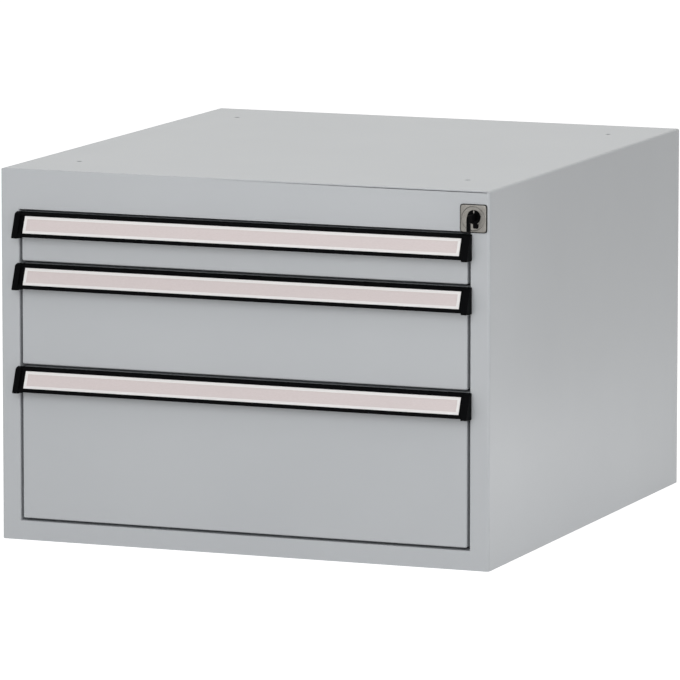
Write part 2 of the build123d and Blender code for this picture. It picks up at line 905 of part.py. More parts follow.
def bar_guides():
    """Slotted blocks on the right wall, halfway between neighbouring hooks."""
    guides = []
    for below, above in zip(drawer_bases, drawer_bases[1:]):
        middle = (hook_bottom(below) + hook_bottom(above) + hook_height) / 2
        z_range = (middle - guide_height / 2, middle + guide_height / 2)
        slot_x = (bar_x[0] - guide_clearance, bar_x[1] + guide_clearance)
        slot_y = (bar_front_y - guide_clearance, bar_front_y + bar_thickness + guide_clearance)
        guide = block(
            (slot_x[0] - guide_wall, inner_half),
            (slot_y[0] - guide_depth_wall, slot_y[1] + guide_depth_wall),
            z_range,
        )
        guides.append(guide - block(slot_x, slot_y, (z_range[0] - over, z_range[1] + over)))
    return guides


# The whole unit, one file for each node
save("left_side_panel", [mirrored(side_panel())])
save("right_side_panel", [side_panel()])
save("top_panel", [top_panel()])
save("fascia_panel", [fascia_panel()])
save("bottom_rail", [bottom_rail()])
save("bottom_panel", [bottom_panel()])
save("back_panel", [back_panel()])
save("back_panel_rivets", back_rivets())
save("runner_uprights", runner_uprights())
save("cabinet_members", both_sides_of_all([cabinet_member(base) for base in drawer_bases]))
save("cabinet_member_rivets", runner_rivets())
save("lock_rosette", [lock_rosette()])
save("lock_housing", [lock_housing()])
save("lock_nut", [lock_nut()])
save("lock_plug", [lock_plug()])
save("lock_cam", [lock_cam()])
save("key_blade", [key_blade()])
save("key_bow", [key_bow()])
save("lock_bar", [lock_bar()])
save("lock_hooks", lock_hooks())
save("lock_bar_guides", bar_guides())

for drawer, base, pitch in zip(drawer_names, drawer_bases, pitches):
    save(f"{drawer}_drawer_front", [front_panel(base, pitch)])
    save(f"{drawer}_drawer_tray", tray(base, pitch))
    save(f"{drawer}_drawer_tray_ends", tray_ends(base, pitch))
    save(f"{drawer}_drawer_screws", drawer_screws(base, pitch))
    save(f"{drawer}_drawer_rivets", tray_rivets(base))
    save(f"{drawer}_drawer_lock_catch", [lock_catch(base)])
    save(f"{drawer}_drawer_runner_members", both_sides(drawer_member(base)))
    save(f"{drawer}_middle_members", both_sides(middle_member(base)))
    save(f"{drawer}_outer_ball_cages", both_sides_of_all(outer_ball_cage(base)))
    save(f"{drawer}_inner_ball_cages", both_sides_of_all(inner_ball_cage(base)))
    save(f"{drawer}_handle_rail", [handle_rail(base, pitch)])
    save(f"{drawer}_handle_caps", handle_caps(base, pitch))
    save(f"{drawer}_label_strip", [label_strip(base, pitch)])
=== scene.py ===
"""Looks of an under-bench drawer unit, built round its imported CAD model.

Sizes in the classes are millimetres, in the frame of the CAD model: X to the right, Y to the
back, Z up, with the origin in the middle of the underside. Meshes are made in metres.
"""
import logging
import math
from dataclasses import dataclass
from enum import Enum
from functools import partial
from typing import Any, Mapping, Sequence

import bmesh
import bpy
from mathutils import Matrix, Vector


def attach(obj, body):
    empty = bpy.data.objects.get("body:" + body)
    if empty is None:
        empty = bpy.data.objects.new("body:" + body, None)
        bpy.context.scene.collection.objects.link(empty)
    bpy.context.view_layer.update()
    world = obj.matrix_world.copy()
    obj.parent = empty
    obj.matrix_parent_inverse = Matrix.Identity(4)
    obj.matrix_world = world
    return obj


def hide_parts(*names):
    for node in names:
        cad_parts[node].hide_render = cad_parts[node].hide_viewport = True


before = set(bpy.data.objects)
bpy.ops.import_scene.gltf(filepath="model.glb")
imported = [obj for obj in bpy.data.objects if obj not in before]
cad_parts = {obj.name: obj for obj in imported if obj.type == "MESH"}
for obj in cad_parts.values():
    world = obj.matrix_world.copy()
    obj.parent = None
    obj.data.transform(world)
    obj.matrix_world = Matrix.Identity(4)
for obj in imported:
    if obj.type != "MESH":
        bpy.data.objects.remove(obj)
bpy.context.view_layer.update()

Flat = tuple[float, float]
Point = tuple[float, float, float]
Corner = tuple[Flat, float]
Ring = list[Point]
Piece = bpy.types.Object
Material = bpy.types.Material
Mesh = bpy.types.Mesh
Tree = bpy.types.NodeTree
Node = bpy.types.Node
Socket = bpy.types.NodeSocket
Inputs = Mapping[str | int, Any]

# One millimetre in Blender's metres.
MM = 0.001
# Points nearer together than this, in metres, are one.
WELD = 1e-6
# A fold of more than this stays sharp.
SMOOTH_DEGREES = 32.0
# The outside of the front and of the back panel.
FRONT_Y = -275.0
BACK_Y = 275.0
# A fastener's turn in degrees, so that its head faces the back of the unit.
FACING_BACK = (-90.0, 0.0, 0.0)
# Each row of balls: how far it lies above or below the runner's middle, and its balls' radius.
OUTER_BALL = (15.0, 1.6)
INNER_BALL = (11.6, 1.2)
log = logging.getLogger("drawer_unit")


# Nodes
def linear(colour: str) -> tuple[float, float, float, float]:
    """Turn an sRGB hex colour into linear light.

    Args:
        colour: The colour as "#RRGGBB".

    Returns:
        Red, green, blue and an alpha of one.
    """
    shares = [int(colour[start:start + 2], 16) / 255 for start in (1, 3, 5)]
    light = [share / 12.92 if share <= 0.04045 else ((share + 0.055) / 1.055) ** 2.4 for share in shares]
    return (light[0], light[1], light[2], 1.0)


def add_node(tree: Tree, kind: str, inputs: Inputs | None = None, **settings: Any) -> Node:
    """Add one node with its settings, values and links.

    Args:
        tree: The node tree to add to.
        kind: The node's type name.
        inputs: A value or an output socket for each input, by name or number.
        settings: The node's own properties.

    Returns:
        The new node.
    """
    node = tree.nodes.new(kind)
    for name, value in settings.items():
        setattr(node, name, value)
    for key, value in (inputs or {}).items():
        if isinstance(value, Socket):
            tree.links.new(value, node.inputs[key])
        else:
            node.inputs[key].default_value = value
    return node


# Finishes
@dataclass(frozen=True)
class Surface:
    """A material under way.

    Attributes:
        tree: Its node tree.
        shader: The shader that its patterns lead to.
        place: The object coordinates.
        colour: The finish's own sRGB hex colour.
        roughness: The finish's own roughness.
    """

    tree: Tree
    shader: Node
    place: Socket
    colour: str
    roughness: float

    # A noise keeps near its middle, so that part of its range is spread over the whole effect.
    MIDDLE = {"From Min": 0.3, "From Max": 0.7}
    # How strongly each finer wave of a noise shows beside the one before it.
    FINER = 0.55

    def noise(self, size_mm: Point, octaves: float = 2.0) -> Socket:
        """Add a noise of a real size.

        Args:
            size_mm: The length of one wave along each axis.
            octaves: How many finer waves it holds.

        Returns:
            The noise, from zero to one.
        """
        scale = tuple(1 / (size * MM) for size in size_mm)
        mapping = add_node(self.tree, "ShaderNodeMapping", {"Vector": self.place, "Scale": scale})
        cloud = add_node(self.tree, "ShaderNodeTexNoise", {
            "Vector": mapping.outputs["Vector"], "Scale": 1.0, "Detail": octaves, "Roughness": self.FINER,
        })
        return cloud.outputs["Fac"]

    def gloss(self, value: Socket, spread: Flat) -> None:
        """Let the roughness follow a noise.

        Args:
            value: The noise.
            spread: How far the roughness falls below the finish's own, and how far it rises above it.
        """
        low, high = self.roughness - spread[0], self.roughness + spread[1]
        gloss = add_node(self.tree, "ShaderNodeMapRange", {
            "Value": value, **self.MIDDLE, "To Min": low, "To Max": high,
        })
        self.tree.links.new(gloss.outputs["Result"], self.shader.inputs["Roughness"])

    def tint(self, value: Socket, other: str, share: float) -> None:
        """Let the colour drift towards another one with a noise.

        Args:
            value: The noise.
            other: The other sRGB hex colour.
            share: The largest share of the other colour.
        """
        amount = add_node(self.tree, "ShaderNodeMapRange", {
            "Value": value, **self.MIDDLE, "To Min": 0.0, "To Max": share,
        })
        mix = add_node(self.tree, "ShaderNodeMix", {
            0: amount.outputs["Result"], 6: linear(self.colour), 7: linear(other),
        }, data_type="RGBA")
        self.tree.links.new(mix.outputs[2], self.shader.inputs["Base Color"])

    def bump(self, *heights: tuple[Socket, float]) -> None:
        """Give the surface its relief.

        Args:
            heights: Each noise with its depth in millimetres.
        """
        normal = None
        for height, depth_mm in heights:
            inputs: dict[str | int, Any] = {"Height": height, "Distance": depth_mm * MM, "Strength": 1.0}
            if normal:
                inputs["Normal"] = normal
            normal = add_node(self.tree, "ShaderNodeBump", inputs).outputs["Normal"]
        self.tree.links.new(normal, self.shader.inputs["Normal"])


@dataclass(frozen=True)
class Finish:
    """What a piece is made of and how its surface was made.

    Attributes:
        name: The material's plain name.
        slot: The record's material slot; not used.
        colour: Its sRGB hex colour.
        roughness: The shader's roughness.
        metallic: One for bare metal, zero for a coat, plastic or card.
        specular: The shader's specular level, where 0.5 is its refractive index as it stands.
    """

    name: str
    slot: str
    colour: str
    roughness: float
    metallic: float = 0.0
    specular: float = 0.5

    def build(self) -> Material:
        """Return the material, made on first use.

        Returns:
            The material, with its pattern.
        """
        known = bpy.data.materials.get(self.name)
        if known:
            return known
        material = bpy.data.materials.new(self.name)
        material.use_nodes = True
        tree = material.node_tree
        tree.nodes.clear()
        place = add_node(tree, "ShaderNodeTexCoord").outputs["Object"]
        shader = add_node(tree, "ShaderNodeBsdfPrincipled", {
            "Base Color": linear(self.colour),
            "Roughness": self.roughness,
            "Metallic": self.metallic,
            "Specular IOR Level": self.specular,
        })
        self.detail(Surface(tree, shader, place, self.colour, self.roughness))
        add_node(tree, "ShaderNodeOutputMaterial", {"Surface": shader.outputs["BSDF"]})
        return material

    def detail(self, surface: Surface) -> None:
        """Add the pattern of the surface."""
        raise NotImplementedError


@dataclass(frozen=True)
class PowderCoat(Finish):
    """Steel sheet with a baked powder coat: satin, with the fine peel that the melted powder leaves."""

    peel_mm: Point = (2.4, 2.4, 2.4)
    peel_depth_mm: float = 0.02
    # The powder's grain is about 0.1 mm, too fine to show, so it is drawn at 0.9 mm.
    grain_mm: Point = (0.9, 0.9, 0.9)
    grain_depth_mm: float = 0.005
    gloss_spread: Flat = (0.05, 0.05)
    cloud_mm: Point = (160.0, 160.0, 160.0)
    shade: str = "#BCBFC3"
    shade_share: float = 0.35

    def detail(self, surface: Surface) -> None:
        """Add orange peel, powder grain and a faint drift of the colour.

        Args:
            surface: The material under way.
        """
        peel, grain = surface.noise(self.peel_mm), surface.noise(self.grain_mm)
        surface.tint(surface.noise(self.cloud_mm), self.shade, self.shade_share)
        surface.gloss(grain, self.gloss_spread)
        surface.bump((peel, self.peel_depth_mm), (grain, self.grain_depth_mm))


@dataclass(frozen=True)
class ZincPlate(Finish):
    """Rolled steel strip with bright zinc plating: fine lines along the roll, and a faint blue cloud."""

    # Real roll lines are about 0.1 mm apart, too fine to show, so they are drawn at 0.6 mm.
    line_mm: Point = (0.6, 60.0, 0.6)
    line_depth_mm: float = 0.004
    gloss_spread: Flat = (0.08, 0.1)
    cloud_mm: Point = (25.0, 25.0, 25.0)
    blush: str = "#A9AFB8"
    blush_share: float = 0.35

    def detail(self, surface: Surface) -> None:
        """Add roll lines and the drift of the plating.

        Args:
            surface: The material under way.
        """
        lines = surface.noise(self.line_mm)
        surface.tint(surface.noise(self.cloud_mm), self.blush, self.blush_share)
        surface.gloss(lines, self.gloss_spread)
        surface.bump((lines, self.line_depth_mm))


@dataclass(frozen=True)
class SatinNickel(Finish):
    """Die-cast zinc with satin nickel plate: warm grey, with soft cast waves and a faint tarnish in them."""

    wave_mm: Point = (4.0, 4.0, 4.0)
    wave_depth_mm: float = 0.02
    gloss_spread: Flat = (0.05, 0.1)
    tarnish: str = "#6C6863"
    tarnish_share: float = 0.5

    def detail(self, surface: Surface) -> None:
        """Add cast waves and a faint tarnish.

        Args:
            surface: The material under way.
        """
        wave = surface.noise(self.wave_mm)
        surface.tint(wave, self.tarnish, self.tarnish_share)
        surface.gloss(wave, self.gloss_spread)
        surface.bump((wave, self.wave_depth_mm))


@dataclass(frozen=True)
class CoatedProfile(Finish):
    """Extruded aluminium with a black satin coat: die lines along the profile show through faintly."""

    # Real die lines are about 0.2 mm apart and the coat's grain is finer still, so both are drawn coarser.
    line_mm: Point = (120.0, 0.8, 0.8)
    line_depth_mm: float = 0.01
    gloss_spread: Flat = (0.05, 0.08)
    grain_mm: Point = (1.0, 1.0, 1.0)
    grain_depth_mm: float = 0.005
    worn: str = "#151618"
    worn_share: float = 0.3

    def detail(self, surface: Surface) -> None:
        """Add die lines and fine grain.

        Args:
            surface: The material under way.
        """
        lines, grain = surface.noise(self.line_mm), surface.noise(self.grain_mm)
        surface.tint(grain, self.worn, self.worn_share)
        surface.gloss(lines, self.gloss_spread)
        surface.bump((lines, self.line_depth_mm), (grain, self.grain_depth_mm))


@dataclass(frozen=True)
class FineGrain(Finish):
    """A dull face with a fine even grain, from a spark-eroded mould or a lacquer; on the rosette's rim its
    near-black is painted shade.
    """

    # The real grain is 0.1 to 0.4 mm, too fine to show, so it is drawn at 0.8 mm.
    grain_mm: Point = (0.8, 0.8, 0.8)
    grain_depth_mm: float = 0.02
    pale: str = "#141517"
    pale_share: float = 0.4

    def detail(self, surface: Surface) -> None:
        """Add the grain, paler on its peaks.

        Args:
            surface: The material under way.
        """
        grain = surface.noise(self.grain_mm)
        surface.tint(grain, self.pale, self.pale_share)
        surface.bump((grain, self.grain_depth_mm))


@dataclass(frozen=True)
class LabelCard(Finish):
    """Card under a clear strip: paper fibres below, a soft gloss above."""

    # Real fibres are about 0.05 mm wide, too fine to show, so they are drawn at 0.8 mm.
    fibre_mm: Point = (3.0, 0.8, 0.8)
    fibre_octaves: float = 4.0
    fibre_depth_mm: float = 0.003
    aged: str = "#DFD3D1"
    aged_share: float = 0.5
    strip_weight: float = 0.6
    strip_roughness: float = 0.25

    def detail(self, surface: Surface) -> None:
        """Add fibres, and the clear strip as a coat.

        Args:
            surface: The material under way.
        """
        fibre = surface.noise(self.fibre_mm, self.fibre_octaves)
        surface.tint(fibre, self.aged, self.aged_share)
        surface.shader.inputs["Coat Weight"].default_value = self.strip_weight
        surface.shader.inputs["Coat Roughness"].default_value = self.strip_roughness
        surface.bump((fibre, self.fibre_depth_mm))


@dataclass(frozen=True)
class PolishedSteel(Finish):
    """Ground and polished bearing steel, with a film of oil that dulls it in patches."""

    film_mm: Point = (1.5, 1.5, 1.5)
    gloss_spread: Flat = (0.0, 0.12)

    def detail(self, surface: Surface) -> None:
        """Let the oil film vary the gloss."""
        surface.gloss(surface.noise(self.film_mm), self.gloss_spread)


# Sheet steel in light grey powder coat: the eye sees an even satin grey with a very fine peel.
GREY_PAINT = PowderCoat("powder_coated_steel", "grey_paint", "#C4C7CA", 0.42)
# Bright zinc plate: cool, half mirror-like, with lines along the strip.
BRIGHT_ZINC = ZincPlate("zinc_plated_steel", "zinc_steel", "#BFC3C6", 0.34, 1.0)
# The same plate on small pressed heads, whose lines run no way in particular.
RIVET_METAL = ZincPlate("zinc_plated_rivet", "zinc_steel", "#C4C6C8", 0.3, 1.0, line_mm=(0.5, 0.5, 0.5))
# Satin nickel plate on a casting: a warm dull grey metal.
NICKEL = SatinNickel("satin_nickel_plate", "nickel", "#7D7B77", 0.34, 1.0)
# Black coat on an extrusion: a deep black that hardly mirrors.
BLACK_PROFILE = CoatedProfile("black_coated_profile", "black_profile", "#050506", 0.5, specular=0.02)
# Moulded ABS: the same black, a little duller.
BLACK_PLASTIC = FineGrain("moulded_black_plastic", "black_plastic", "#050506", 0.55, specular=0.02)
# Black lacquer on turned brass: smoother, with a faint sheen.
BLACK_LACQUER = FineGrain("black_lacquered_brass", "black_lock", "#060607", 0.4, specular=0.03,
                          grain_depth_mm=0.008)
# Painted shade on the rim of the casting: a warm near-black that darkens the plate's side faces and edge
# step, where shade and dark reflections fall.
RIM_PAINTED_SHADE = FineGrain("rosette_rim_painted_shade", "nickel", "#1A1917", 0.5, specular=0.2)
# Natural nylon: an off-white with a dull face.
WHITE_NYLON = FineGrain("natural_nylon", "natural_plastic", "#E3E0D3", 0.45, pale="#D6D2C2")
# White card: the bright border round the paper.
LABEL_EDGE = LabelCard("white_label_carrier", "label_card", "#F5F3F2", 0.4, aged="#ECE9E7")
# Tinted paper: a pale warm grey with a breath of pink.
LABEL_PAPER = LabelCard("tinted_label_paper", "label_card", "#E0D5D4", 0.55, aged="#D6C9C8")
# Ground balls: small bright points.
BEARING_STEEL = PolishedSteel("bearing_steel", "zinc_steel", "#C8CACC", 0.1, 1.0)


# Meshes
def linked(name: str, data: bpy.types.ID) -> Piece:
    """Make an object of a mesh, lamp or camera and put it in the scene.

    Args:
        name: The object's name.
        data: What it shows.

    Returns:
        The object.
    """
    piece = bpy.data.objects.new(name, data)
    bpy.context.scene.collection.objects.link(piece)
    return piece


def mesh_of(name: str, points: Sequence[Point], faces: Sequence[Sequence[int]]) -> Mesh:
    """Make a mesh of points in millimetres and of faces as point numbers.

    Args:
        name: The mesh's name.
        points: Its points.
        faces: Its faces.

    Returns:
        The mesh.
    """
    mesh = bpy.data.meshes.new(name)
    mesh.from_pydata([tuple(value * MM for value in point) for point in points], [], faces)
    return mesh


def shade(mesh: Mesh) -> None:
    """Shade a mesh smooth, with its folds kept sharp."""
    mesh.shade_smooth()
    mesh.set_sharp_from_angle(angle=math.radians(SMOOTH_DEGREES))


def merged(name: str, meshes: Sequence[Mesh], weld: bool) -> Piece:
    """Make one smooth piece of several meshes.

    Args:
        name: The piece's name.
        meshes: The meshes.
        weld: True where points at one place become one.

    Returns:
        The piece, linked to the scene.
    """
    work = bmesh.new()
    for mesh in meshes:
        work.from_mesh(mesh)
    if weld:
        bmesh.ops.remove_doubles(work, verts=work.verts, dist=WELD)
    whole = bpy.data.meshes.new(name)
    work.to_mesh(whole)
    work.free()
    shade(whole)
    return linked(name, whole)


def loft(name: str, rings: Sequence[Ring], closed: bool = False) -> Piece:
    """Join rings of equal length into one closed piece.

    Args:
        name: The piece's name.
        rings: The rings in order.
        closed: True where the last ring meets the first, else both ends get a face.

    Returns:
        The piece, with its faces turned outwards.
    """
    size = len(rings[0])
    vertices = [point for ring in rings for point in ring]
    pairs = [(low, low + 1) for low in range(len(rings) - 1)]
    if closed:
        pairs.append((len(rings) - 1, 0))
    faces: list[Sequence[int]] = []
    for low, high in pairs:
        for here in range(size):
            after = (here + 1) % size
            faces.append((low * size + here, low * size + after, high * size + after, high * size + here))
    if not closed:
        last = (len(rings) - 1) * size
        faces.append([size - 1 - here for here in range(size)])
        faces.append([last + here for here in range(size)])
    mesh = mesh_of(name, vertices, faces)
    work = bmesh.new()
    work.from_mesh(mesh)
    bmesh.ops.remove_doubles(work, verts=work.verts, dist=WELD)
    bmesh.ops.recalc_face_normals(work, faces=work.faces)
    work.to_mesh(mesh)
    work.free()
    shade(mesh)
    return linked(name, mesh)


class Along(Enum):
    """The axis that an outline is drawn out along; the outline holds the other two, in order."""

    X = 0
    Y = 1
    Z = 2

    def at(self, point: Flat, distance: float) -> Point:
        """Place a point of the outline at a distance along the axis.

        Args:
            point: The outline's point.
            distance: How far along the axis.

        Returns:
            The place in space.
        """
        spot = list(point)
        spot.insert(self.value, distance)
        return (spot[0], spot[1], spot[2])


def drawn_out(name: str, outline: Sequence[Flat], along: Along, start: float, end: float) -> Piece:
    """Draw a closed outline out along an axis.

    Args:
        name: The piece's name.
        outline: The section, in millimetres.
        along: The axis.
        start: Where the piece starts.
        end: Where it ends.

    Returns:
        The piece.
    """
    return loft(name, [[along.at(point, distance) for point in outline] for distance in (start, end)])


def rounded(corners: Sequence[Corner], steps: int = 4) -> list[Flat]:
    """Round the corners of a closed outline.

    Args:
        corners: Each sharp corner with its radius, or zero.
        steps: The number of chords in each arc.

    Returns:
        The rounded outline.
    """
    outline: list[Flat] = []
    for index, (corner, radius) in enumerate(corners):
        if radius == 0:
            outline.append(corner)
            continue
        tip = Vector(corner)
        back = (Vector(corners[index - 1][0]) - tip).normalized()
        ahead = (Vector(corners[(index + 1) % len(corners)][0]) - tip).normalized()
        half = back.angle(ahead) / 2
        centre = tip + (back + ahead).normalized() * (radius / math.sin(half))
        first = tip + back * (radius / math.tan(half)) - centre
        final = tip + ahead * (radius / math.tan(half)) - centre
        begin = math.atan2(first.y, first.x)
        turn = (math.atan2(final.y, final.x) - begin + math.pi) % math.tau - math.pi
        for step in range(steps + 1):
            angle = begin + turn * step / steps
            outline.append((centre.x + radius * math.cos(angle), centre.y + radius * math.sin(angle)))
    return outline


def rounded_box(low: Flat, high: Flat, radius: float) -> list[Flat]:
    """Return a rectangle with round corners, between two corners."""
    return rounded([(low, radius), ((high[0], low[1]), radius), (high, radius), ((low[0], high[1]), radius)])


def plain(piece: Piece) -> Piece:
    """Turn a piece with modifiers into one plain mesh.

    Args:
        piece: The piece.

    Returns:
        The same piece.
    """
    bpy.context.view_layer.update()
    graph = bpy.context.evaluated_depsgraph_get()
    mesh = bpy.data.meshes.new_from_object(
        piece.evaluated_get(graph), preserve_all_data_layers=True, depsgraph=graph
    )
    piece.modifiers.clear()
    raw = piece.data
    piece.data = mesh
    bpy.data.meshes.remove(raw)
    return piece


def evened(piece: Piece) -> Piece:
    """Keep wide faces flat in the shading beside their rounds.

    Args:
        piece: The piece.

    Returns:
        The same piece, as a plain mesh.
    """
    modifier = piece.modifiers.new("Flat faces", "WEIGHTED_NORMAL")
    modifier.keep_sharp = True
    return plain(piece)


def softened(piece: Piece, width: float, steps: int = 2) -> Piece:
    """Break the sharp edges of a piece by a small round.

    Args:
        piece: The piece.
        width: The width of the round in millimetres.
        steps: The number of faces across it.

    Returns:
        The same piece, as a plain mesh.
    """
    bevel = piece.modifiers.new("Edge round", "BEVEL")
    bevel.width = width * MM
    bevel.segments = steps
    bevel.limit_method = "ANGLE"
    bevel.angle_limit = math.radians(SMOOTH_DEGREES)
    plain(piece)
    shade(piece.data)
    return evened(piece)


def joined(name: str, pieces: Sequence[Piece]) -> Piece:
    """Make one piece of several plain ones, which are used up.

    Args:
        name: The whole piece's name.
        pieces: The single pieces.

    Returns:
        The whole piece.
    """
    whole = merged(name, [piece.data for piece in pieces], weld=False)
    for piece in pieces:
        bpy.data.objects.remove(piece)
    return evened(whole)


def smooth_copy(name: str, node: str) -> Piece:
    """Copy a CAD node as a welded mesh, so that its bends shade smoothly."""
    return evened(merged(name, [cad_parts[node].data], weld=True))


def dress(piece: Piece, finish: Finish, body: str, *nodes: str) -> Piece:
    """Give a piece its finish and its body, and hide the CAD nodes that it stands for.

    Args:
        piece: The piece.
        finish: Its finish.
        body: The CAD body that it moves with.
        nodes: The CAD nodes that it stands for.

    Returns:
        The piece.
    """
    piece.data.materials.clear()
    piece.data.materials.append(finish.build())
    if nodes:
        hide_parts(*nodes)
    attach(piece, body)
    log.info("%s on %s: %d faces", piece.name, body, len(piece.data.polygons))
    return piece


# Repeats, grown by node trees
class Repeat:
    """A node tree that puts a small part at each point of a mesh of loose points."""

    KINDS = {int: "Int", float: "Float", tuple: "Vector"}

    def __init__(self, name: str, sizes: Mapping[str, int | float | Point]) -> None:
        """Start the tree with its named inputs.

        Args:
            name: The tree's name.
            sizes: Its named counts, and its named sizes and places in millimetres.
        """
        self.sizes = dict(sizes)
        self.tree = bpy.data.node_groups.new(name, "GeometryNodeTree")
        self.add = partial(add_node, self.tree)
        face = self.tree.interface
        face.new_socket("Geometry", in_out="OUTPUT", socket_type="NodeSocketGeometry")
        kinds = {"Geometry": "Geometry", "Turn": "Rotation", "Finish": "Material"}
        kinds |= {label: self.KINDS[type(size)] for label, size in sizes.items()}
        for label, kind in kinds.items():
            face.new_socket(label, in_out="INPUT", socket_type=f"NodeSocket{kind}")
        self.source = self.add("NodeGroupInput").outputs
        spots = self.add("GeometryNodeInstanceOnPoints", {
            "Points": self.source["Geometry"], "Instance": self.part(), "Rotation": self.source["Turn"],
        })
        real = self.add("GeometryNodeRealizeInstances", {"Geometry": spots.outputs["Instances"]})
        coated = self.add("GeometryNodeSetMaterial", {
            "Geometry": real.outputs["Geometry"], "Material": self.source["Finish"],
        })
        self.add("NodeGroupOutput", {"Geometry": coated.outputs["Geometry"]})

    def part(self) -> Socket:
        """Build the small part, standing on its point with its head along Z."""
        raise NotImplementedError

    def grow(
        self, name: str, points: Sequence[Point], finish: Finish, turn: Point = (0.0, 0.0, 0.0)
    ) -> Piece:
        """Put the part at each point.

        Args:
            name: The piece's name.
            points: The places in millimetres.
            finish: The part's finish.
            turn: The turn of each part in degrees about X, Y and Z.

        Returns:
            All the parts as one plain mesh.
        """
        piece = linked(name, mesh_of(name, points, []))
        modifier = piece.modifiers.new(self.tree.name, "NODES")
        modifier.node_group = self.tree
        sockets = {
            item.name: item.identifier
            for item in self.tree.interface.items_tree
            if item.item_type == "SOCKET" and item.in_out == "INPUT"
        }
        for label, size in self.sizes.items():
            if isinstance(size, tuple):
                modifier[sockets[label]] = [value * MM for value in size]
            else:
                modifier[sockets[label]] = size if isinstance(size, int) else size * MM
        modifier[sockets["Turn"]] = [math.radians(angle) for angle in turn]
        modifier[sockets["Finish"]] = finish.build()
        plain(piece)
        shade(piece.data)
        return piece


class Rivets(Repeat):
    """Blind rivets: a domed head with the hole of its pulled pin, and a shank through the sheets."""

    SIDES = 20
    DOME_STEPS = 4
    # By how much of its area the head shrinks from its foot to its top.
    DOME_DRAW = 0.8
    RECESS_SIDES = 20
    # The recess's radius beside the shank's.
    RECESS_SHARE = 0.5

    def __init__(self, name: str, head: Flat, shank: Flat) -> None:
        """Start the tree for one size of fastener.

        Args:
            name: The tree's name.
            head: The head's radius and height.
            shank: The shank's radius and length.
        """
        super().__init__(name, {
            "Head radius": head[0],
            "Head height": head[1],
            "Head middle": (0.0, 0.0, head[1] / 2),
            "Recess radius": shank[0] * self.RECESS_SHARE,
            "Recess height": head[1],
            "Recess middle": (0.0, 0.0, head[1]),
            "Shank radius": shank[0],
            "Shank height": shank[1],
            "Shank middle": (0.0, 0.0, -shank[1] / 2),
        })

    def part(self) -> Socket:
        """Build one fastener of three upright bars, with the recess down to half its head.

        Returns:
            The fastener.
        """
        bars = {}
        for label, sides, steps in (
            ("Head", self.SIDES, self.DOME_STEPS), ("Recess", self.RECESS_SIDES, 1), ("Shank", self.SIDES, 1),
        ):
            bar = self.add("GeometryNodeMeshCylinder", {
                "Vertices": sides,
                "Side Segments": steps,
                "Radius": self.source[f"{label} radius"],
                "Depth": self.source[f"{label} height"],
            })
            bars[label] = self.add("GeometryNodeTransform", {
                "Geometry": bar.outputs["Mesh"], "Translation": self.source[f"{label} middle"],
            }).outputs["Geometry"]
        head = self.add("GeometryNodeMeshBoolean", {
            0: self.domed(bars["Head"]), 1: bars["Recess"],
        }, operation="DIFFERENCE")
        pair = self.add("GeometryNodeJoinGeometry", {"Geometry": head.outputs["Mesh"]})
        self.tree.links.new(bars["Shank"], pair.inputs["Geometry"])
        return pair.outputs["Geometry"]

    def domed(self, drum: Socket) -> Socket:
        """Draw an upright bar in by the square of its height.

        Args:
            drum: The bar.

        Returns:
            The dome.
        """
        place = self.add("GeometryNodeInputPosition").outputs["Position"]
        height = self.add("ShaderNodeSeparateXYZ", {"Vector": place}).outputs["Z"]
        level = self.add("ShaderNodeMath", {0: height, 1: self.source["Head height"]}, operation="DIVIDE")
        square = self.add("ShaderNodeMath", {0: level.outputs[0], 1: level.outputs[0]}, operation="MULTIPLY")
        area = self.add("ShaderNodeMath", {
            0: square.outputs[0], 1: -self.DOME_DRAW, 2: 1.0,
        }, operation="MULTIPLY_ADD")
        share = self.add("ShaderNodeMath", {0: area.outputs[0]}, operation="SQRT").outputs[0]
        scale = self.add("ShaderNodeCombineXYZ", {"X": share, "Y": share, "Z": 1.0}).outputs[0]
        drawn_in = self.add("ShaderNodeVectorMath", {0: place, 1: scale}, operation="MULTIPLY").outputs[0]
        return self.add("GeometryNodeSetPosition", {"Geometry": drum, "Position": drawn_in}).outputs[0]


class Screws(Rivets):
    """Pan-head screws: the same form with a square drive."""

    RECESS_SIDES = 4
    RECESS_SHARE = 0.78


class Balls(Repeat):
    """Rows of bearing balls; each point is the first ball of a row."""

    SEGMENTS = 16
    RINGS = 10

    def part(self) -> Socket:
        """Build one row.

        Returns:
            The row.
        """
        row = self.add("GeometryNodeMeshLine", {"Count": self.source["Count"], "Offset": self.source["Step"]})
        ball = self.add("GeometryNodeMeshUVSphere", {
            "Segments": self.SEGMENTS, "Rings": self.RINGS, "Radius": self.source["Radius"],
        })
        balls = self.add("GeometryNodeInstanceOnPoints", {
            "Points": row.outputs["Mesh"], "Instance": ball.outputs["Mesh"],
        })
        return balls.outputs["Instances"]


class SlotColumn(Repeat):
    """A column of slot-shaped cutters with round ends; each point is the middle of the lowest slot."""

    SIDES = 16

    def part(self) -> Socket:
        """Build the column: each slot is the hull of two round bars that lie along X.

        Returns:
            The column.
        """
        bar = self.add("GeometryNodeMeshCylinder", {
            "Vertices": self.SIDES, "Radius": self.source["End radius"], "Depth": self.source["Depth"],
        })
        ends = self.add("GeometryNodeJoinGeometry")
        for end in ("Low end", "High end"):
            moved = self.add("GeometryNodeTransform", {
                "Geometry": bar.outputs["Mesh"],
                "Translation": self.source[end],
                "Rotation": (0.0, math.pi / 2, 0.0),
            })
            self.tree.links.new(moved.outputs["Geometry"], ends.inputs["Geometry"])
        slot = self.add("GeometryNodeConvexHull", {"Geometry": ends.outputs["Geometry"]})
        column = self.add("GeometryNodeMeshLine", {
            "Count": self.source["Count"], "Offset": self.source["Step"],
        })
        cutters = self.add("GeometryNodeInstanceOnPoints", {
            "Points": column.outputs["Mesh"], "Instance": slot.outputs["Convex Hull"],
        })
        return cutters.outputs["Instances"]


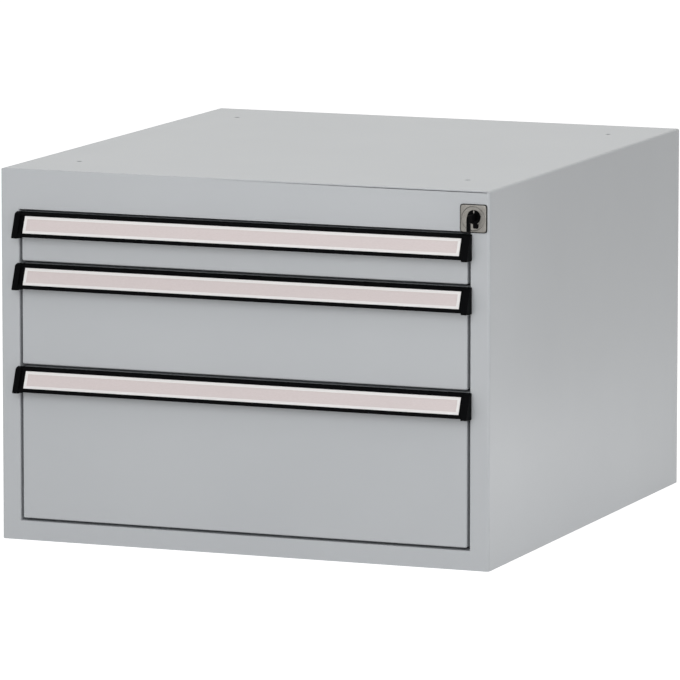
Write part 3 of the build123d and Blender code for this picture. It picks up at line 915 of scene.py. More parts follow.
# The unit
class Level(Enum):
    """The three drawers, each with its base height and its front's pitch in millimetres."""

    LOWER = (20.0, 150.0)
    MIDDLE = (170.0, 100.0)
    UPPER = (270.0, 50.0)

    @property
    def base(self) -> float:
        """Height of the middle of the gap below the front."""
        return self.value[0]

    @property
    def top(self) -> float:
        """Height of the middle of the gap above the front."""
        return self.value[0] + self.value[1]

    @property
    def word(self) -> str:
        """The drawer's name in the CAD nodes."""
        return self.name.lower()

    @property
    def body(self) -> str:
        """The CAD body of the drawer."""
        return f"{self.word}_drawer"


@dataclass(frozen=True)
class Casing:
    """The folded steel casing with its runner uprights.

    Attributes:
        seam: The heights between which the top's front edge leaves a seam over the fascia.
        seam_closed_x: Up to where the coat closes the whole seam, from the left.
        seam_open_x: From where it leaves the whole seam open.
    """

    opening_half: float = 230.5
    inner_half: float = 248.8
    sheet: float = 1.2
    height: float = 360.0
    upright_width: float = 30.0
    upright_fronts: Flat = (-240.0, 200.0)
    upright_top: float = 350.0
    bend: float = 2.0
    cut_edge: float = 0.3
    arc_steps: int = 3
    slot_pitch: float = 25.0
    slot_count: int = 13
    slot_width: float = 4.0
    slot_height: float = 12.0
    slot_inset: float = 8.0
    rivet_head: Flat = (3.2, 1.0)
    rivet_shank: Flat = (2.0, 3.2)
    rivet_inset: float = 30.0
    rivet_rows: int = 5
    rivet_x: float = 240.0
    seam: Flat = (358.1, 358.8)
    seam_half: float = 247.0
    seam_closed_x: float = -48.0
    seam_open_x: float = 150.0

    def build(self) -> None:
        """Build and dress the casing."""
        for node in (
            "left_side_panel", "right_side_panel", "top_panel", "fascia_panel", "bottom_rail",
            "bottom_panel", "back_panel",
        ):
            dress(smooth_copy(f"{node}_coated", node), GREY_PAINT, "casing", node)
        self.seam_paint()
        self.back_rivets()
        end = (self.slot_height - self.slot_width) / 2
        slots = SlotColumn("Upright slots", {
            "Count": self.slot_count,
            "End radius": self.slot_width / 2,
            "Depth": self.upright_width / 2,
            "Low end": (0.0, 0.0, -end),
            "High end": (0.0, 0.0, end),
            "Step": (0.0, 0.0, self.slot_pitch),
        })
        uprights = [self.upright(slots, side, front) for side in (-1, 1) for front in self.upright_fronts]
        dress(joined("uprights_plated", uprights), BRIGHT_ZINC, "casing", "runner_uprights")

    def upright(self, slots: SlotColumn, side: int, front: float) -> Piece:
        """Build one upright: a channel with its web towards the drawers and a column of slots.

        Args:
            slots: The tree that makes the slot cutters.
            side: Minus one for the left, one for the right.
            front: The place of its front flange.

        Returns:
            The upright.
        """
        web, back = self.opening_half, front + self.upright_width
        inner_bend = self.bend - self.sheet
        corners = [
            ((self.inner_half, front), self.cut_edge),
            ((web, front), self.bend),
            ((web, back), self.bend),
            ((self.inner_half, back), self.cut_edge),
            ((self.inner_half, back - self.sheet), self.cut_edge),
            ((web + self.sheet, back - self.sheet), inner_bend),
            ((web + self.sheet, front + self.sheet), inner_bend),
            ((self.inner_half, front + self.sheet), self.cut_edge),
        ]
        outline = rounded([((side * x, y), radius) for (x, y), radius in corners], self.arc_steps)
        piece = drawn_out(f"upright_{side}_{front:.0f}", outline, Along.Z, self.sheet, self.upright_top)
        lowest = (side * web, front + self.slot_inset, self.sheet + self.slot_pitch)
        cutters = slots.grow(f"{piece.name}_slots", [lowest], BRIGHT_ZINC)
        cut = piece.modifiers.new("Slots", "BOOLEAN")
        cut.operation = "DIFFERENCE"
        cut.object = cutters
        plain(piece)
        bpy.data.objects.remove(cutters)
        return piece

    def seam_paint(self) -> None:
        """Let the coat close the seam under the top's front edge at the left, and open it to the right."""
        low, high = self.seam
        left = -self.seam_half
        outline = [(left, low), (self.seam_open_x, low), (self.seam_closed_x, high), (left, high)]
        paint = drawn_out("seam_paint", outline, Along.Y, FRONT_Y, FRONT_Y + self.sheet)
        dress(paint, GREY_PAINT, "casing")

    def back_rivets(self) -> None:
        """Put blind rivets down both edges of the back panel."""
        rivets = Rivets("Back rivets", self.rivet_head, self.rivet_shank)
        step = (self.height - 2 * self.rivet_inset) / (self.rivet_rows - 1)
        places = [
            (side * self.rivet_x, BACK_Y, self.rivet_inset + step * row)
            for side in (-1, 1) for row in range(self.rivet_rows)
        ]
        piece = rivets.grow("back_rivet_heads", places, RIVET_METAL, FACING_BACK)
        dress(piece, RIVET_METAL, "casing", "back_panel_rivets")


@dataclass(frozen=True)
class DrawerFront:
    """A folded pan with a flat face, four returns and a lip round its open back.

    Attributes:
        edge: The round between the face and the returns.
        corner: The round of the pan's four corners.
        tightest: The least that a corner's round shrinks to on the face.
        cut_edge: How far the cut edges of the sheet are broken.
    """

    half: float = 227.9
    thickness: float = 18.0
    gap: float = 2.6
    edge: float = 1.5
    corner: float = 1.5
    tightest: float = 0.4
    sheet: float = 1.2
    cut_edge: float = 0.3
    lip: float = 12.0
    arc_steps: int = 5

    def ring(self, level: Level, y: float, inset: float) -> Ring:
        """Return one ring of the pan.

        Args:
            level: The drawer.
            y: The ring's place from front to back.
            inset: How far it lies inside the pan's outline.

        Returns:
            The ring's points.
        """
        radius = max(self.corner - inset, self.tightest) if inset < self.lip / 2 else self.corner
        low = (-self.half + inset, level.base + self.gap / 2 + inset)
        high = (self.half - inset, level.top - self.gap / 2 - inset)
        return [Along.Y.at(point, y) for point in rounded_box(low, high, radius)]

    def build(self, level: Level) -> None:
        """Build and dress one front.

        Args:
            level: The drawer.
        """
        back = FRONT_Y + self.thickness
        angles = [math.pi / 2 * step / self.arc_steps for step in range(self.arc_steps, -1, -1)]
        sections = [
            (FRONT_Y + self.edge * (1 - math.sin(angle)), self.edge * (1 - math.cos(angle)))
            for angle in angles
        ]
        sections += [
            (back - self.cut_edge, 0.0),
            (back, self.cut_edge),
            (back, self.lip - self.cut_edge),
            (back - self.cut_edge, self.lip),
            (back - self.sheet, self.lip),
            (back - self.sheet, self.sheet),
            (FRONT_Y + self.sheet, self.sheet),
        ]
        pan = loft(f"{level.word}_front_pan", [self.ring(level, y, inset) for y, inset in sections])
        dress(evened(pan), GREY_PAINT, level.body, f"{level.word}_drawer_front")


@dataclass(frozen=True)
class HandleStrip:
    """The full-width handle: an extruded strip, a label in its groove and a moulded cap at each end.

    Attributes:
        half: Half the strip's length.
        reach_top: How far the label face stands out at its top.
        reach_bottom: How far it stands out at its bottom.
        top_drop: How far the face starts below the strip's top.
        window_start: How far down the face the label shows first.
        window: How far down it shows from there.
        undercut: How deep the groove goes under its two lips.
        fit: The label's play in its groove.
        paper_rise: How far the paper stands out of the card, and how deep it lies in it.
        cap: The length of an end cap.
        cap_corners: The radii of a cap's section, from its top at the front panel round to its foot.
    """

    half: float = 226.5
    top_gap: float = 0.7
    reach_top: float = 5.5
    reach_bottom: float = 14.5
    top_drop: float = 2.2
    height: float = 23.5
    wall: float = 2.6
    top_wall: float = 2.2
    flange: float = 2.6
    flange_height: float = 12.0
    edge: float = 0.3
    brow: float = 0.9
    foot: float = 0.6
    flange_edge: float = 0.4
    lip_edge: float = 0.25
    arc_steps: int = 3
    window_start: float = 1.6
    window: float = 17.4
    lip: float = 0.7
    undercut: float = 0.9
    card: float = 0.5
    fit: float = 0.05
    label_left_gap: float = 4.6
    label_right_gap: float = 2.9
    paper_border: float = 2.9
    paper_rise: float = 0.03
    cap: float = 6.0
    cap_margin: float = 0.8
    cap_round: float = 1.2
    cap_round_steps: int = 3
    cap_foot: float = 1.4
    cap_heel: float = 2.2
    cap_standoff: float = 0.4
    cap_corners: tuple[float, ...] = (0.6, 2.0, 0.9, 0.7, 0.8)

    def on_face(self, distance: float, depth: float) -> Flat:
        """Return a point of the sloping label face, as (out, down).

        Args:
            distance: How far down the face.
            depth: How far behind it.

        Returns:
            The point.
        """
        run = self.reach_bottom - self.reach_top
        drop = self.height - self.top_drop
        length = math.hypot(run, drop)
        out = self.reach_top + (run * distance - drop * depth) / length
        down = self.top_drop + (drop * distance + run * depth) / length
        return (out, down)

    def behind(self, down: float) -> Flat:
        """Return the point of the wall's inner side at one height, as (out, down).

        Args:
            down: The height, as far down from the strip's top.

        Returns:
            The point.
        """
        top = self.on_face(0.0, self.wall)
        slope = (self.reach_bottom - self.reach_top) / (self.height - self.top_drop)
        return (top[0] + slope * (down - top[1]), down)

    def section(self) -> list[Flat]:
        """Return the rail's section, as (out, down).

        Returns:
            The section's points, with its corners rounded.
        """
        start, end = self.window_start, self.window_start + self.window
        floor = self.lip + self.card + self.fit
        under = self.top_drop + self.top_wall
        return rounded([
            ((0.0, 0.0), self.edge),
            ((self.reach_top, self.top_drop), self.brow),
            (self.on_face(start, 0.0), self.lip_edge),
            (self.on_face(start, self.lip), 0.0),
            (self.on_face(start - self.undercut, self.lip), 0.0),
            (self.on_face(start - self.undercut, floor), 0.0),
            (self.on_face(end + self.undercut, floor), 0.0),
            (self.on_face(end + self.undercut, self.lip), 0.0),
            (self.on_face(end, self.lip), 0.0),
            (self.on_face(end, 0.0), self.lip_edge),
            ((self.reach_bottom, self.height), self.foot),
            (self.behind(self.height), self.foot),
            (self.behind(under), self.edge),
            ((self.flange, self.top_wall), self.edge),
            ((self.flange, self.flange_height), self.flange_edge),
            ((0.0, self.flange_height), 0.0),
        ], self.arc_steps)

    def length_of(self, name: str, outline: Sequence[Flat], level: Level, start: float, end: float) -> Piece:
        """Draw a section out along X at one drawer.

        Args:
            name: The piece's name, after the drawer's word.
            outline: The section, as (out, down).
            level: The drawer.
            start: Where the piece starts.
            end: Where it ends.

        Returns:
            The piece.
        """
        top = level.top - self.top_gap
        placed = [(FRONT_Y - out, top - down) for out, down in outline]
        return drawn_out(f"{level.word}_{name}", placed, Along.X, start, end)

    def build(self, level: Level) -> None:
        """Build and dress the strip of one drawer.

        Args:
            level: The drawer.
        """
        rail = self.length_of("handle_profile", self.section(), level, -self.half, self.half)
        dress(evened(rail), BLACK_PROFILE, level.body, f"{level.word}_handle_rail")
        self.label(level)
        caps = joined(f"{level.word}_end_caps", [self.end_cap(level, side) for side in (-1, 1)])
        dress(caps, BLACK_PLASTIC, level.body, f"{level.word}_handle_caps")

    def label(self, level: Level) -> None:
        """Lay the label in its groove: a white strip, and the tinted paper inside its border.

        Args:
            level: The drawer.
        """
        edge = self.undercut - self.fit
        top = self.lip + self.fit
        near, far = self.window_start - edge, self.window_start + self.window + edge
        left, right = self.label_left_gap - self.half, self.half - self.label_right_gap
        strip = self.length_of("label_card", self.slab(near, far, top, top + self.card), level, left, right)
        dress(strip, LABEL_EDGE, level.body, f"{level.word}_label_strip")
        border = self.paper_border
        near, far = self.window_start + border, self.window_start + self.window - border
        outline = self.slab(near, far, top - self.paper_rise, top + self.paper_rise)
        paper = self.length_of("label_paper", outline, level, left + border, right - border)
        dress(paper, LABEL_PAPER, level.body)

    def slab(self, near: float, far: float, top: float, bottom: float) -> list[Flat]:
        """Return a thin section on the label face, between two distances and two depths."""
        corners = ((near, top), (far, top), (far, bottom), (near, bottom))
        return [self.on_face(distance, depth) for distance, depth in corners]

    def end_cap(self, level: Level, side: int) -> Piece:
        """Build one end cap.

        Args:
            level: The drawer.
            side: Minus one for the left, one for the right.

        Returns:
            The cap.
        """
        corners = [
            (self.cap_standoff, 0.0),
            (self.reach_top + self.cap_margin, self.top_drop - self.cap_margin),
            (self.reach_bottom + self.cap_margin, self.height),
            (self.reach_bottom + self.cap_margin / 2, self.height + self.cap_foot),
            (self.cap_standoff, self.height + self.cap_heel),
        ]
        outline = rounded(list(zip(corners, self.cap_corners)))
        start, end = sorted((side * self.half, side * (self.half + self.cap)))
        cap = self.length_of(f"cap_{side}", outline, level, start, end)
        return softened(cap, self.cap_round, self.cap_round_steps)


@dataclass(frozen=True)
class Drawer:
    """What lies behind a front: tray, end walls, screws, rivets and the catch for the lock.

    Attributes:
        end_play: How far the folded sheet stays inside the CAD tray at both ends.
        hem_round: The round of a hem's fold.
    """

    screw_head: Flat = (3.6, 2.0)
    screw_shank: Flat = (2.0, 3.4)
    screw_spread: float = 159.0
    tray_screw_spread: float = 129.5
    handle_screw_drop: float = 7.7
    tray_screw_lift: float = 10.0
    rivet_head: Flat = (3.2, 1.0)
    rivet_shank: Flat = (2.0, 2.2)
    rivet_lift: float = 20.5
    rivet_ys: tuple[float, float] = (-153.0, 147.0)
    tray_half: float = 217.8
    tray_front: float = -257.0
    tray_back: float = 243.0
    floor_gap: float = 5.0
    head_gap: float = 12.0
    bend: float = 2.0
    hem_height: float = 8.0
    hem: float = 1.2
    hem_round: float = 0.96
    cut_edge: float = 0.4
    end_play: float = 0.1
    sheet: float = 1.0
    front_sheet: float = 1.2

    def build(self, level: Level) -> None:
        """Build and dress the inside of one drawer.

        Args:
            level: The drawer.
        """
        word, body = level.word, level.body
        start, end = self.tray_front + self.end_play, self.tray_back - self.end_play
        tray = drawn_out(f"{word}_tray_folded", self.section(level), Along.Y, start, end)
        dress(evened(tray), GREY_PAINT, body, f"{word}_drawer_tray")
        ends = smooth_copy(f"{word}_tray_ends_coated", f"{word}_drawer_tray_ends")
        dress(ends, GREY_PAINT, body, f"{word}_drawer_tray_ends")
        catch = smooth_copy(f"{word}_catch_plated", f"{word}_drawer_lock_catch")
        dress(catch, BRIGHT_ZINC, body, f"{word}_drawer_lock_catch")
        self.screws(level)
        self.rivets(level)

    def section(self, level: Level) -> list[Flat]:
        """Return the folded tray's section as (x, z).

        Args:
            level: The drawer.

        Returns:
            The section's points, with its bends rounded.
        """
        low, high = level.base + self.floor_gap, level.top - self.head_gap
        wall = self.tray_half - self.sheet
        turned = wall - self.hem
        right = [
            ((wall, low + self.sheet), self.bend - self.sheet),
            ((wall, high - self.hem_height), 0.0),
            ((turned, high - self.hem_height), self.cut_edge),
            ((turned, high), self.hem_round),
            ((self.tray_half, high), self.hem_round),
            ((self.tray_half, low), self.bend),
        ]
        left = [((-x, z), radius) for (x, z), radius in reversed(right)]
        return rounded(right + left)

    def screws(self, level: Level) -> None:
        """Put in the screws that hold the handle and the tray to the front.

        Args:
            level: The drawer.
        """
        screws = Screws(f"{level.word} drawer screws", self.screw_head, self.screw_shank)
        rows = (
            (self.screw_spread, FRONT_Y + self.front_sheet, level.top - self.handle_screw_drop),
            (self.tray_screw_spread, self.tray_front + self.sheet, level.base + self.tray_screw_lift),
        )
        places = [(x, y, z) for spread, y, z in rows for x in (-spread, 0.0, spread)]
        piece = screws.grow(f"{level.word}_screw_heads", places, RIVET_METAL, FACING_BACK)
        dress(piece, RIVET_METAL, level.body, f"{level.word}_drawer_screws")

    def rivets(self, level: Level) -> None:
        """Rivet the drawer members of the runners to the tray's walls.

        Args:
            level: The drawer.
        """
        rivets = Rivets(f"{level.word} tray rivets", self.rivet_head, self.rivet_shank)
        z = level.base + self.rivet_lift
        inner = self.tray_half - self.sheet
        sides = []
        for side in (-1, 1):
            places = [(side * inner, y, z) for y in self.rivet_ys]
            facing_in = (0.0, -90.0 * side, 0.0)
            sides.append(rivets.grow(f"{level.word}_rivets_{side}", places, RIVET_METAL, facing_in))
        piece = joined(f"{level.word}_rivet_heads", sides)
        dress(piece, RIVET_METAL, level.body, f"{level.word}_drawer_rivets")


@dataclass(frozen=True)
class Strip:
    """The section of one rolled runner strip, in distances inward from the opening's side.

    Attributes:
        web: The web's outside and inside.
        tip: Where its two flanges end.
        half: Half its height.
        sheet: How thick its flanges are.
        bend: The outside radius of its bends.
        tightest: The least radius inside a bend.
        outer_ball: The balls that run on the outside of its flanges, as their height and radius.
        inner_ball: The balls that run on their inside.
        race_place: How far inward the races lie.
        play: How far a race stands off its balls.
    """

    web: Flat
    tip: float
    half: float
    sheet: float = 1.2
    bend: float = 2.0
    tightest: float = 0.2
    cut_edge: float = 0.3
    arc_steps: int = 3
    outer_ball: Flat | None = None
    inner_ball: Flat | None = None
    race_place: float = 8.0
    play: float = 0.05

    def race(self, way: float, face: float, ball: Flat | None) -> list[Corner]:
        """Return the points of the race that a row of balls runs in, or none.

        Args:
            way: Plus one where the outline runs inward, minus one where it runs back.
            face: The height of the flange's face.
            ball: The balls' height and radius.

        Returns:
            The points, each with a radius of zero.
        """
        if ball is None:
            return []
        radius = ball[1] + self.play
        rise = face - ball[0]
        half_angle = math.acos(abs(rise) / radius)
        angles = [half_angle * share for share in (-1.0, -0.5, 0.0, 0.5, 1.0)]
        up = math.copysign(radius, rise)
        return [
            ((self.race_place + way * radius * math.sin(angle), ball[0] + up * math.cos(angle)), 0.0)
            for angle in angles
        ]

    def outline(self) -> list[Flat]:
        """Return the section as (inward, up), with its bends rounded.

        Returns:
            The section's points.
        """
        way = math.copysign(1.0, self.tip - self.web[0])
        inside = self.half - self.sheet
        upper = [((self.web[0], self.half), self.bend)]
        upper += self.race(way, self.half, self.outer_ball)
        upper += [((self.tip, self.half), self.cut_edge), ((self.tip, inside), self.cut_edge)]
        upper += self.race(-way, inside, self.inner_ball)
        upper += [((self.web[1], inside), max(self.bend - self.sheet, self.tightest))]
        lower = [((inward, -up), radius) for (inward, up), radius in reversed(upper)]
        return rounded(upper + lower, self.arc_steps)


@dataclass(frozen=True)
class BallRunner:
    """The pair of telescopic runners of one drawer."""

    side: float = 230.5
    lift: float = 20.5
    front: float = -243.0
    back: float = 257.0
    member_back: float = 237.0
    cage_front: float = -103.0
    cage_length: float = 200.0
    balls_per_row: int = 6
    cabinet: Strip = Strip((0.0, 1.2), 10.8, 17.5, inner_ball=OUTER_BALL)
    middle: Strip = Strip((2.6, 3.8), 11.2, 13.7, outer_ball=OUTER_BALL, inner_ball=INNER_BALL)
    inner: Strip = Strip((12.7, 11.5), 5.2, 10.7, outer_ball=INNER_BALL)
    outer_cage: Strip = Strip((1.6, 2.2), 10.2, 15.6, bend=1.0)
    inner_cage: Strip = Strip((4.2, 4.8), 10.9, 12.0, sheet=0.8, bend=0.9)

    def pair(self, name: str, strip: Strip, level: Level, start: float, end: float) -> Piece:
        """Roll one strip for each side of the drawer.

        Args:
            name: The pair's name.
            strip: Its section.
            level: The drawer.
            start: Where it starts.
            end: Where it ends.

        Returns:
            Both strips as one piece.
        """
        middle = level.base + self.lift
        strips = []
        for side in (-1, 1):
            outline = [(side * (self.side - inward), middle + up) for inward, up in strip.outline()]
            strips.append(drawn_out(f"{name}_{side}", outline, Along.Y, start, end))
        return joined(name, strips)

    def cages(self, level: Level, kind: str, strip: Strip, ball: Flat) -> None:
        """Build one kind of ball cage with its rows of balls.

        Args:
            level: The drawer.
            kind: The cages' word in the CAD nodes.
            strip: The cage's section.
            ball: How far the rows lie above and below the middle, and the balls' radius.
        """
        body = f"{level.word}_{kind}_ball_cages"
        cages = self.pair(f"{body}_strip", strip, level, self.cage_front, self.cage_front + self.cage_length)
        dress(cages, BRIGHT_ZINC, body, body)
        pitch = self.cage_length / self.balls_per_row
        rows = Balls(f"{level.word} {kind} balls", {
            "Count": self.balls_per_row, "Step": (0.0, pitch, 0.0), "Radius": ball[1],
        })
        first = self.cage_front + pitch / 2
        middle = level.base + self.lift
        places = [
            (side * (self.side - strip.race_place), first, middle + way * ball[0])
            for side in (-1, 1) for way in (-1, 1)
        ]
        dress(rows.grow(f"{body}_balls", places, BEARING_STEEL), BEARING_STEEL, body)

    def build(self, level: Level) -> None:
        """Build and dress the moving members of one drawer's runners.

        Args:
            level: The drawer.
        """
        word = level.word
        members = self.pair(f"{word}_drawer_members", self.inner, level, self.front, self.member_back)
        dress(members, BRIGHT_ZINC, level.body, f"{word}_drawer_runner_members")
        members = self.pair(f"{word}_middle_strips", self.middle, level, self.front, self.member_back)
        dress(members, BRIGHT_ZINC, f"{word}_middle_members", f"{word}_middle_members")
        self.cages(level, "outer", self.outer_cage, OUTER_BALL)
        self.cages(level, "inner", self.inner_cage, INNER_BALL)

    def fixed_members(self) -> None:
        """Build the members that stay on the casing, and dress their rivets."""
        strips = [
            self.pair(f"{level.word}_cabinet_strips", self.cabinet, level, self.front, self.back)
            for level in Level
        ]
        dress(joined("cabinet_strips", strips), BRIGHT_ZINC, "casing", "cabinet_members")
        rivets = smooth_copy("cabinet_member_rivets_plated", "cabinet_member_rivets")
        dress(rivets, BRIGHT_ZINC, "casing", "cabinet_member_rivets")


@dataclass(frozen=True)
class CentralLock:
    """The key lock in the fascia, and the bar behind it that holds all the drawers.

    Attributes:
        middle: The middle of the square plate, as (x, z).
        axis: The plug's axis.
        plate: The plate's side.
        rim: How far the plated face stays inside the near-black body, whose colour is painted shade.
        rim_depth: How far that face stands in front of the body's step.
        core: How far inside the plate's outline the body ends.
        collar_foot: The collar's radius where it leaves the face.
        collar: Its radius at its top.
        thickness: How far the collar stands out.
        squareness: The power of the curve that rounds the plate's corners.
        tab_shift: How far the tab under the plug lies right of the axis.
        tab_drop: How far it reaches below the axis.
        index_start: How far above the axis the index line starts.
        index_end: How far above it the line ends.
    """

    middle: Flat = (234.0, 334.0)
    axis: Flat = (235.0, 335.6)
    plate: float = 27.0
    plate_sheet: float = 1.6
    rim: float = 0.8
    rim_depth: float = 0.4
    core: float = 6.75
    edge: float = 0.4
    collar_foot: float = 11.8
    collar: float = 11.0
    thickness: float = 2.6
    bore: float = 6.6
    plug_front: float = 2.9
    squareness: float = 14.0
    ring_points: int = 64
    tab_half: float = 2.75
    tab_shift: float = 1.9
    tab_drop: float = 10.8
    tab_sheet: float = 0.4
    tab_round: float = 1.4
    index_half: float = 0.55
    index_round: float = 0.495
    index_start: float = 3.4
    index_end: float = 6.3
    index_rise: float = 0.05
    index_depth: float = 0.3

    def build(self) -> None:
        """Build and dress the lock."""
        self.rosette_plate()
        self.tab()
        self.plug_index()
        for node, finish, body in (
            ("lock_housing", NICKEL, "casing"),
            ("lock_nut", BRIGHT_ZINC, "casing"),
            ("lock_bar_guides", WHITE_NYLON, "casing"),
            ("lock_plug", BLACK_LACQUER, "lock_cylinder"),
            ("lock_cam", BRIGHT_ZINC, "lock_cylinder"),
            ("key_blade", NICKEL, "lock_cylinder"),
            ("key_bow", BLACK_PLASTIC, "lock_cylinder"),
            ("lock_bar", BRIGHT_ZINC, "lock_rod"),
            ("lock_hooks", BRIGHT_ZINC, "lock_rod"),
        ):
            dress(smooth_copy(f"{node}_finished", node), finish, body, node)

    def ring(self, y: float, half: float, middle: Flat, squareness: float = 2.0) -> Ring:
        """Return one ring of the rosette.

        Args:
            y: The ring's place from front to back.
            half: Half its width.
            middle: Its middle.
            squareness: The power of its curve: two is a circle, and more comes nearer to a square.

        Returns:
            The ring's points, at the same angles in every ring.
        """
        ring = []
        for step in range(self.ring_points):
            angle = math.tau * step / self.ring_points
            across, up = math.cos(angle), math.sin(angle)
            power = abs(across) ** squareness + abs(up) ** squareness
            reach = half / power ** (1 / squareness)
            ring.append(Along.Y.at((middle[0] + across * reach, middle[1] + up * reach), y))
        return ring

    def square(self, y: float, inset: float) -> Ring:
        """Return a ring of the square plate, drawn in by an inset."""
        return self.ring(y, self.plate / 2 - inset, self.middle, self.squareness)

    def rosette_plate(self) -> None:
        """Build the plate round the plug: a body in near-black painted shade, with a plated face and collar.
        """
        front = FRONT_Y - self.plate_sheet
        step = front + self.rim_depth
        top = FRONT_Y - self.thickness
        soft = self.edge / 2
        body = loft("rosette_body", [
            self.square(FRONT_Y, 0.0),
            self.square(step + soft, 0.0),
            self.square(step, soft),
            self.square(step, self.core),
            self.square(FRONT_Y, self.core),
        ], closed=True)
        # The body's near-black is painted shade along the plate's edges.
        dress(evened(body), RIM_PAINTED_SHADE, "casing")
        face = loft("rosette_face", [
            self.square(step, self.rim),
            self.square(front + soft, self.rim),
            self.square(front, self.rim + self.edge),
            self.ring(front, self.collar_foot, self.middle),
            self.ring(top + self.edge, self.collar + soft, self.middle),
            self.ring(top, self.collar, self.middle),
            self.ring(top, self.bore + soft, self.axis),
            self.ring(top + soft, self.bore, self.axis),
            self.ring(step, self.bore, self.axis),
        ], closed=True)
        dress(evened(face), NICKEL, "casing", "lock_rosette")

    def tab(self) -> None:
        """Lay the short tab on the collar, under the plug."""
        low, high = self.axis[1] - self.tab_drop, self.axis[1] - self.bore + self.edge
        left = self.axis[0] + self.tab_shift - self.tab_half
        right = left + 2 * self.tab_half
        outline = rounded([
            ((left, high), 0.0),
            ((left, low), self.tab_round),
            ((right, low), self.tab_round),
            ((right, high), 0.0),
        ])
        top = FRONT_Y - self.thickness
        tab = drawn_out("rosette_tab", outline, Along.Y, top - self.tab_sheet, top + self.edge / 2)
        dress(softened(tab, self.tab_sheet / 3), BLACK_LACQUER, "casing")

    def plug_index(self) -> None:
        """Set the pale index line into the plug's face, above the keyway."""
        x, z = self.axis
        low = (x - self.index_half, z + self.index_start)
        high = (x + self.index_half, z + self.index_end)
        outline = rounded_box(low, high, self.index_round)
        front = FRONT_Y - self.plug_front
        line = drawn_out("plug_index", outline, Along.Y, front - self.index_rise, front + self.index_depth)
        dress(line, NICKEL, "lock_cylinder")


# Studio
@dataclass(frozen=True)
class Lamp:
    """One soft lamp, which the camera doesn't see.

    Attributes:
        name: Its name.
        place: Its place in millimetres.
        target: Where it points.
        face: The width and height of its face.
        power: Its power in watts.
        tint: The sRGB hex colour of its light.
    """

    name: str
    place: Point
    target: Point
    face: Flat
    power: float
    tint: str = "#FFFFFF"

    def hang(self) -> None:
        """Hang the lamp."""
        data = bpy.data.lights.new(self.name, "AREA")
        data.shape = "RECTANGLE"
        data.size = self.face[0] * MM
        data.size_y = self.face[1] * MM
        data.energy = self.power
        data.color = linear(self.tint)[:3]
        lamp = linked(self.name, data)
        lamp.location = Vector(self.place) * MM
        lamp.rotation_euler = (Vector(self.target) - Vector(self.place)).to_track_quat("-Z", "Y").to_euler()
        lamp.visible_camera = False


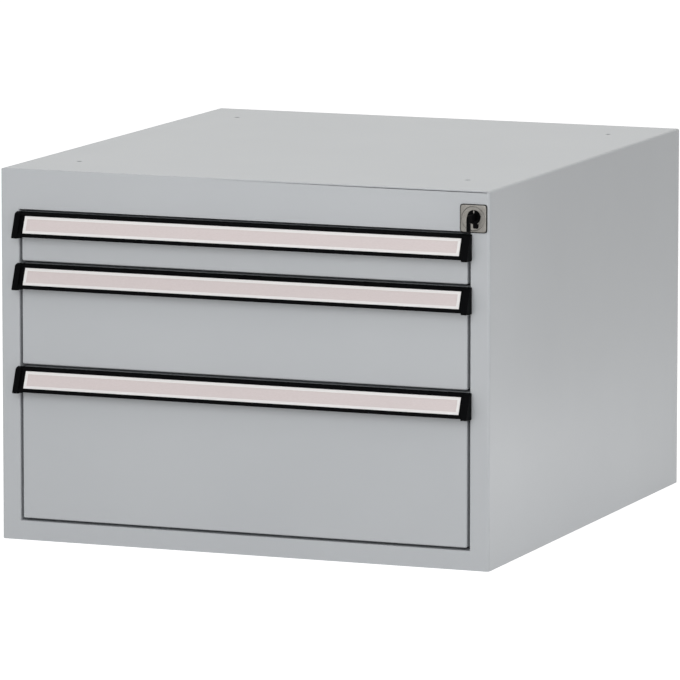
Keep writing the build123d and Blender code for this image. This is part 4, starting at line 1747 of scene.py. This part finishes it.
@dataclass(frozen=True)
class Studio:
    """A pale floor, soft lamps and the camera of the photograph.

    Attributes:
        focal_px: The focal length in pixels.
        image_px: The photograph's width and height in pixels.
        centre_px: Where the lens's axis meets the photograph.
        azimuth: How far to the right the camera stands, in degrees.
        elevation: How far down it looks, in degrees.
        sensor: The camera's own sensor width in millimetres.
        clip_m: How far the camera sees, in metres.
        sky: The strength of the light from all round.
        glow: How much the floor adds to its own light where it is seen.
    """

    focal_px: float = 7000.0
    image_px: float = 680.0
    centre_px: Flat = (327.65, 289.30)
    azimuth: float = 21.602
    elevation: float = 7.939
    camera_at: Point = (2492.5, -6349.3, 1170.8)
    sensor: float = 36.0
    clip_m: float = 100.0
    sky: float = 0.5
    glow: float = 0.8
    floor_colour: str = "#C8C8C8"
    floor_reach: float = 30000.0
    white: tuple[float, ...] = (1.0, 1.0, 1.0, 1.0)
    lamps: tuple[Lamp, ...] = (
        # Lights the top, a little warm.
        Lamp("Top softbox", (0.0, 500.0, 2200.0), (0.0, 100.0, 360.0), (1500.0, 1500.0), 7.5, "#FFFDF1"),
        # Lights the fronts.
        Lamp("Front softbox", (200.0, -2600.0, 1000.0), (0.0, -275.0, 180.0), (1600.0, 1600.0), 24.5),
        # Lifts the foot of the right side.
        Lamp("Side strip", (470.0, 80.0, 30.0), (250.0, 80.0, 30.0), (680.0, 30.0), 0.18),
        # Puts the light line on the front right corner.
        Lamp("Corner strip", (400.0, -278.0, 180.0), (250.0, -278.0, 180.0), (30.0, 400.0), 0.05),
    )

    def build(self) -> None:
        """Set up the camera, the lamps, the sky and the floor."""
        bpy.context.scene.view_settings.view_transform = "Standard"
        self.camera()
        self.world()
        self.floor()
        for lamp in self.lamps:
            lamp.hang()

    def camera(self) -> None:
        """Place the camera, turned and shifted as the photograph's was."""
        data = bpy.data.cameras.new("Camera")
        data.sensor_width = self.sensor
        data.lens = self.sensor * self.focal_px / self.image_px
        middle = self.image_px / 2
        data.shift_x = (middle - self.centre_px[0]) / self.image_px
        data.shift_y = (self.centre_px[1] - middle) / self.image_px
        data.clip_end = self.clip_m
        camera = linked("Camera", data)
        side, rise = math.radians(self.azimuth), math.radians(self.elevation)
        look = Vector((-math.sin(side) * math.cos(rise), math.cos(side) * math.cos(rise), -math.sin(rise)))
        camera.location = Vector(self.camera_at) * MM
        camera.rotation_euler = look.to_track_quat("-Z", "Y").to_euler()
        bpy.context.scene.camera = camera

    def seen(self, tree: Tree) -> Socket:
        """Return one for rays of the camera, of gloss and of glass.

        Args:
            tree: The tree of the sky or of a material.

        Returns:
            The socket that gives one or zero.
        """
        path = add_node(tree, "ShaderNodeLightPath").outputs
        share = path["Is Camera Ray"]
        for kind in ("Is Glossy Ray", "Is Transmission Ray"):
            either = add_node(tree, "ShaderNodeMath", {0: share, 1: path[kind]}, operation="MAXIMUM")
            share = either.outputs[0]
        return share

    def world(self) -> None:
        """Light softly from all round, and show white behind."""
        world = bpy.data.worlds.new("Studio")
        bpy.context.scene.world = world
        world.use_nodes = True
        tree = world.node_tree
        tree.nodes.clear()
        soft = add_node(tree, "ShaderNodeBackground", {"Color": self.white, "Strength": self.sky})
        bright = add_node(tree, "ShaderNodeBackground", {"Color": self.white, "Strength": 1.0})
        shares = {0: self.seen(tree), 1: soft.outputs[0], 2: bright.outputs[0]}
        mix = add_node(tree, "ShaderNodeMixShader", shares)
        add_node(tree, "ShaderNodeOutputWorld", {"Surface": mix.outputs[0]})

    def floor(self) -> None:
        """Lay a wide pale floor that shows white and keeps the unit's shadow."""
        reach = self.floor_reach
        corners = [(-reach, -reach, 0.0), (reach, -reach, 0.0), (reach, reach, 0.0), (-reach, reach, 0.0)]
        floor = linked("floor", mesh_of("floor", corners, [(0, 1, 2, 3)]))
        material = bpy.data.materials.new("studio_floor")
        material.use_nodes = True
        tree = material.node_tree
        tree.nodes.clear()
        matt = add_node(tree, "ShaderNodeBsdfDiffuse", {"Color": linear(self.floor_colour)})
        glow = add_node(tree, "ShaderNodeEmission", {"Color": self.white, "Strength": self.glow})
        lit = add_node(tree, "ShaderNodeAddShader", {0: matt.outputs[0], 1: glow.outputs[0]})
        shares = {0: self.seen(tree), 1: matt.outputs[0], 2: lit.outputs[0]}
        mix = add_node(tree, "ShaderNodeMixShader", shares)
        add_node(tree, "ShaderNodeOutputMaterial", {"Surface": mix.outputs[0]})
        floor.data.materials.append(material)


def main() -> None:
    """Build the unit and its studio."""
    logging.basicConfig(level=logging.INFO, format="%(name)s: %(message)s")
    Casing().build()
    front, handle, drawer, runner = DrawerFront(), HandleStrip(), Drawer(), BallRunner()
    for level in Level:
        front.build(level)
        handle.build(level)
        drawer.build(level)
        runner.build(level)
    runner.fixed_members()
    CentralLock().build()
    Studio().build()


if __name__ == "__main__":
    main()
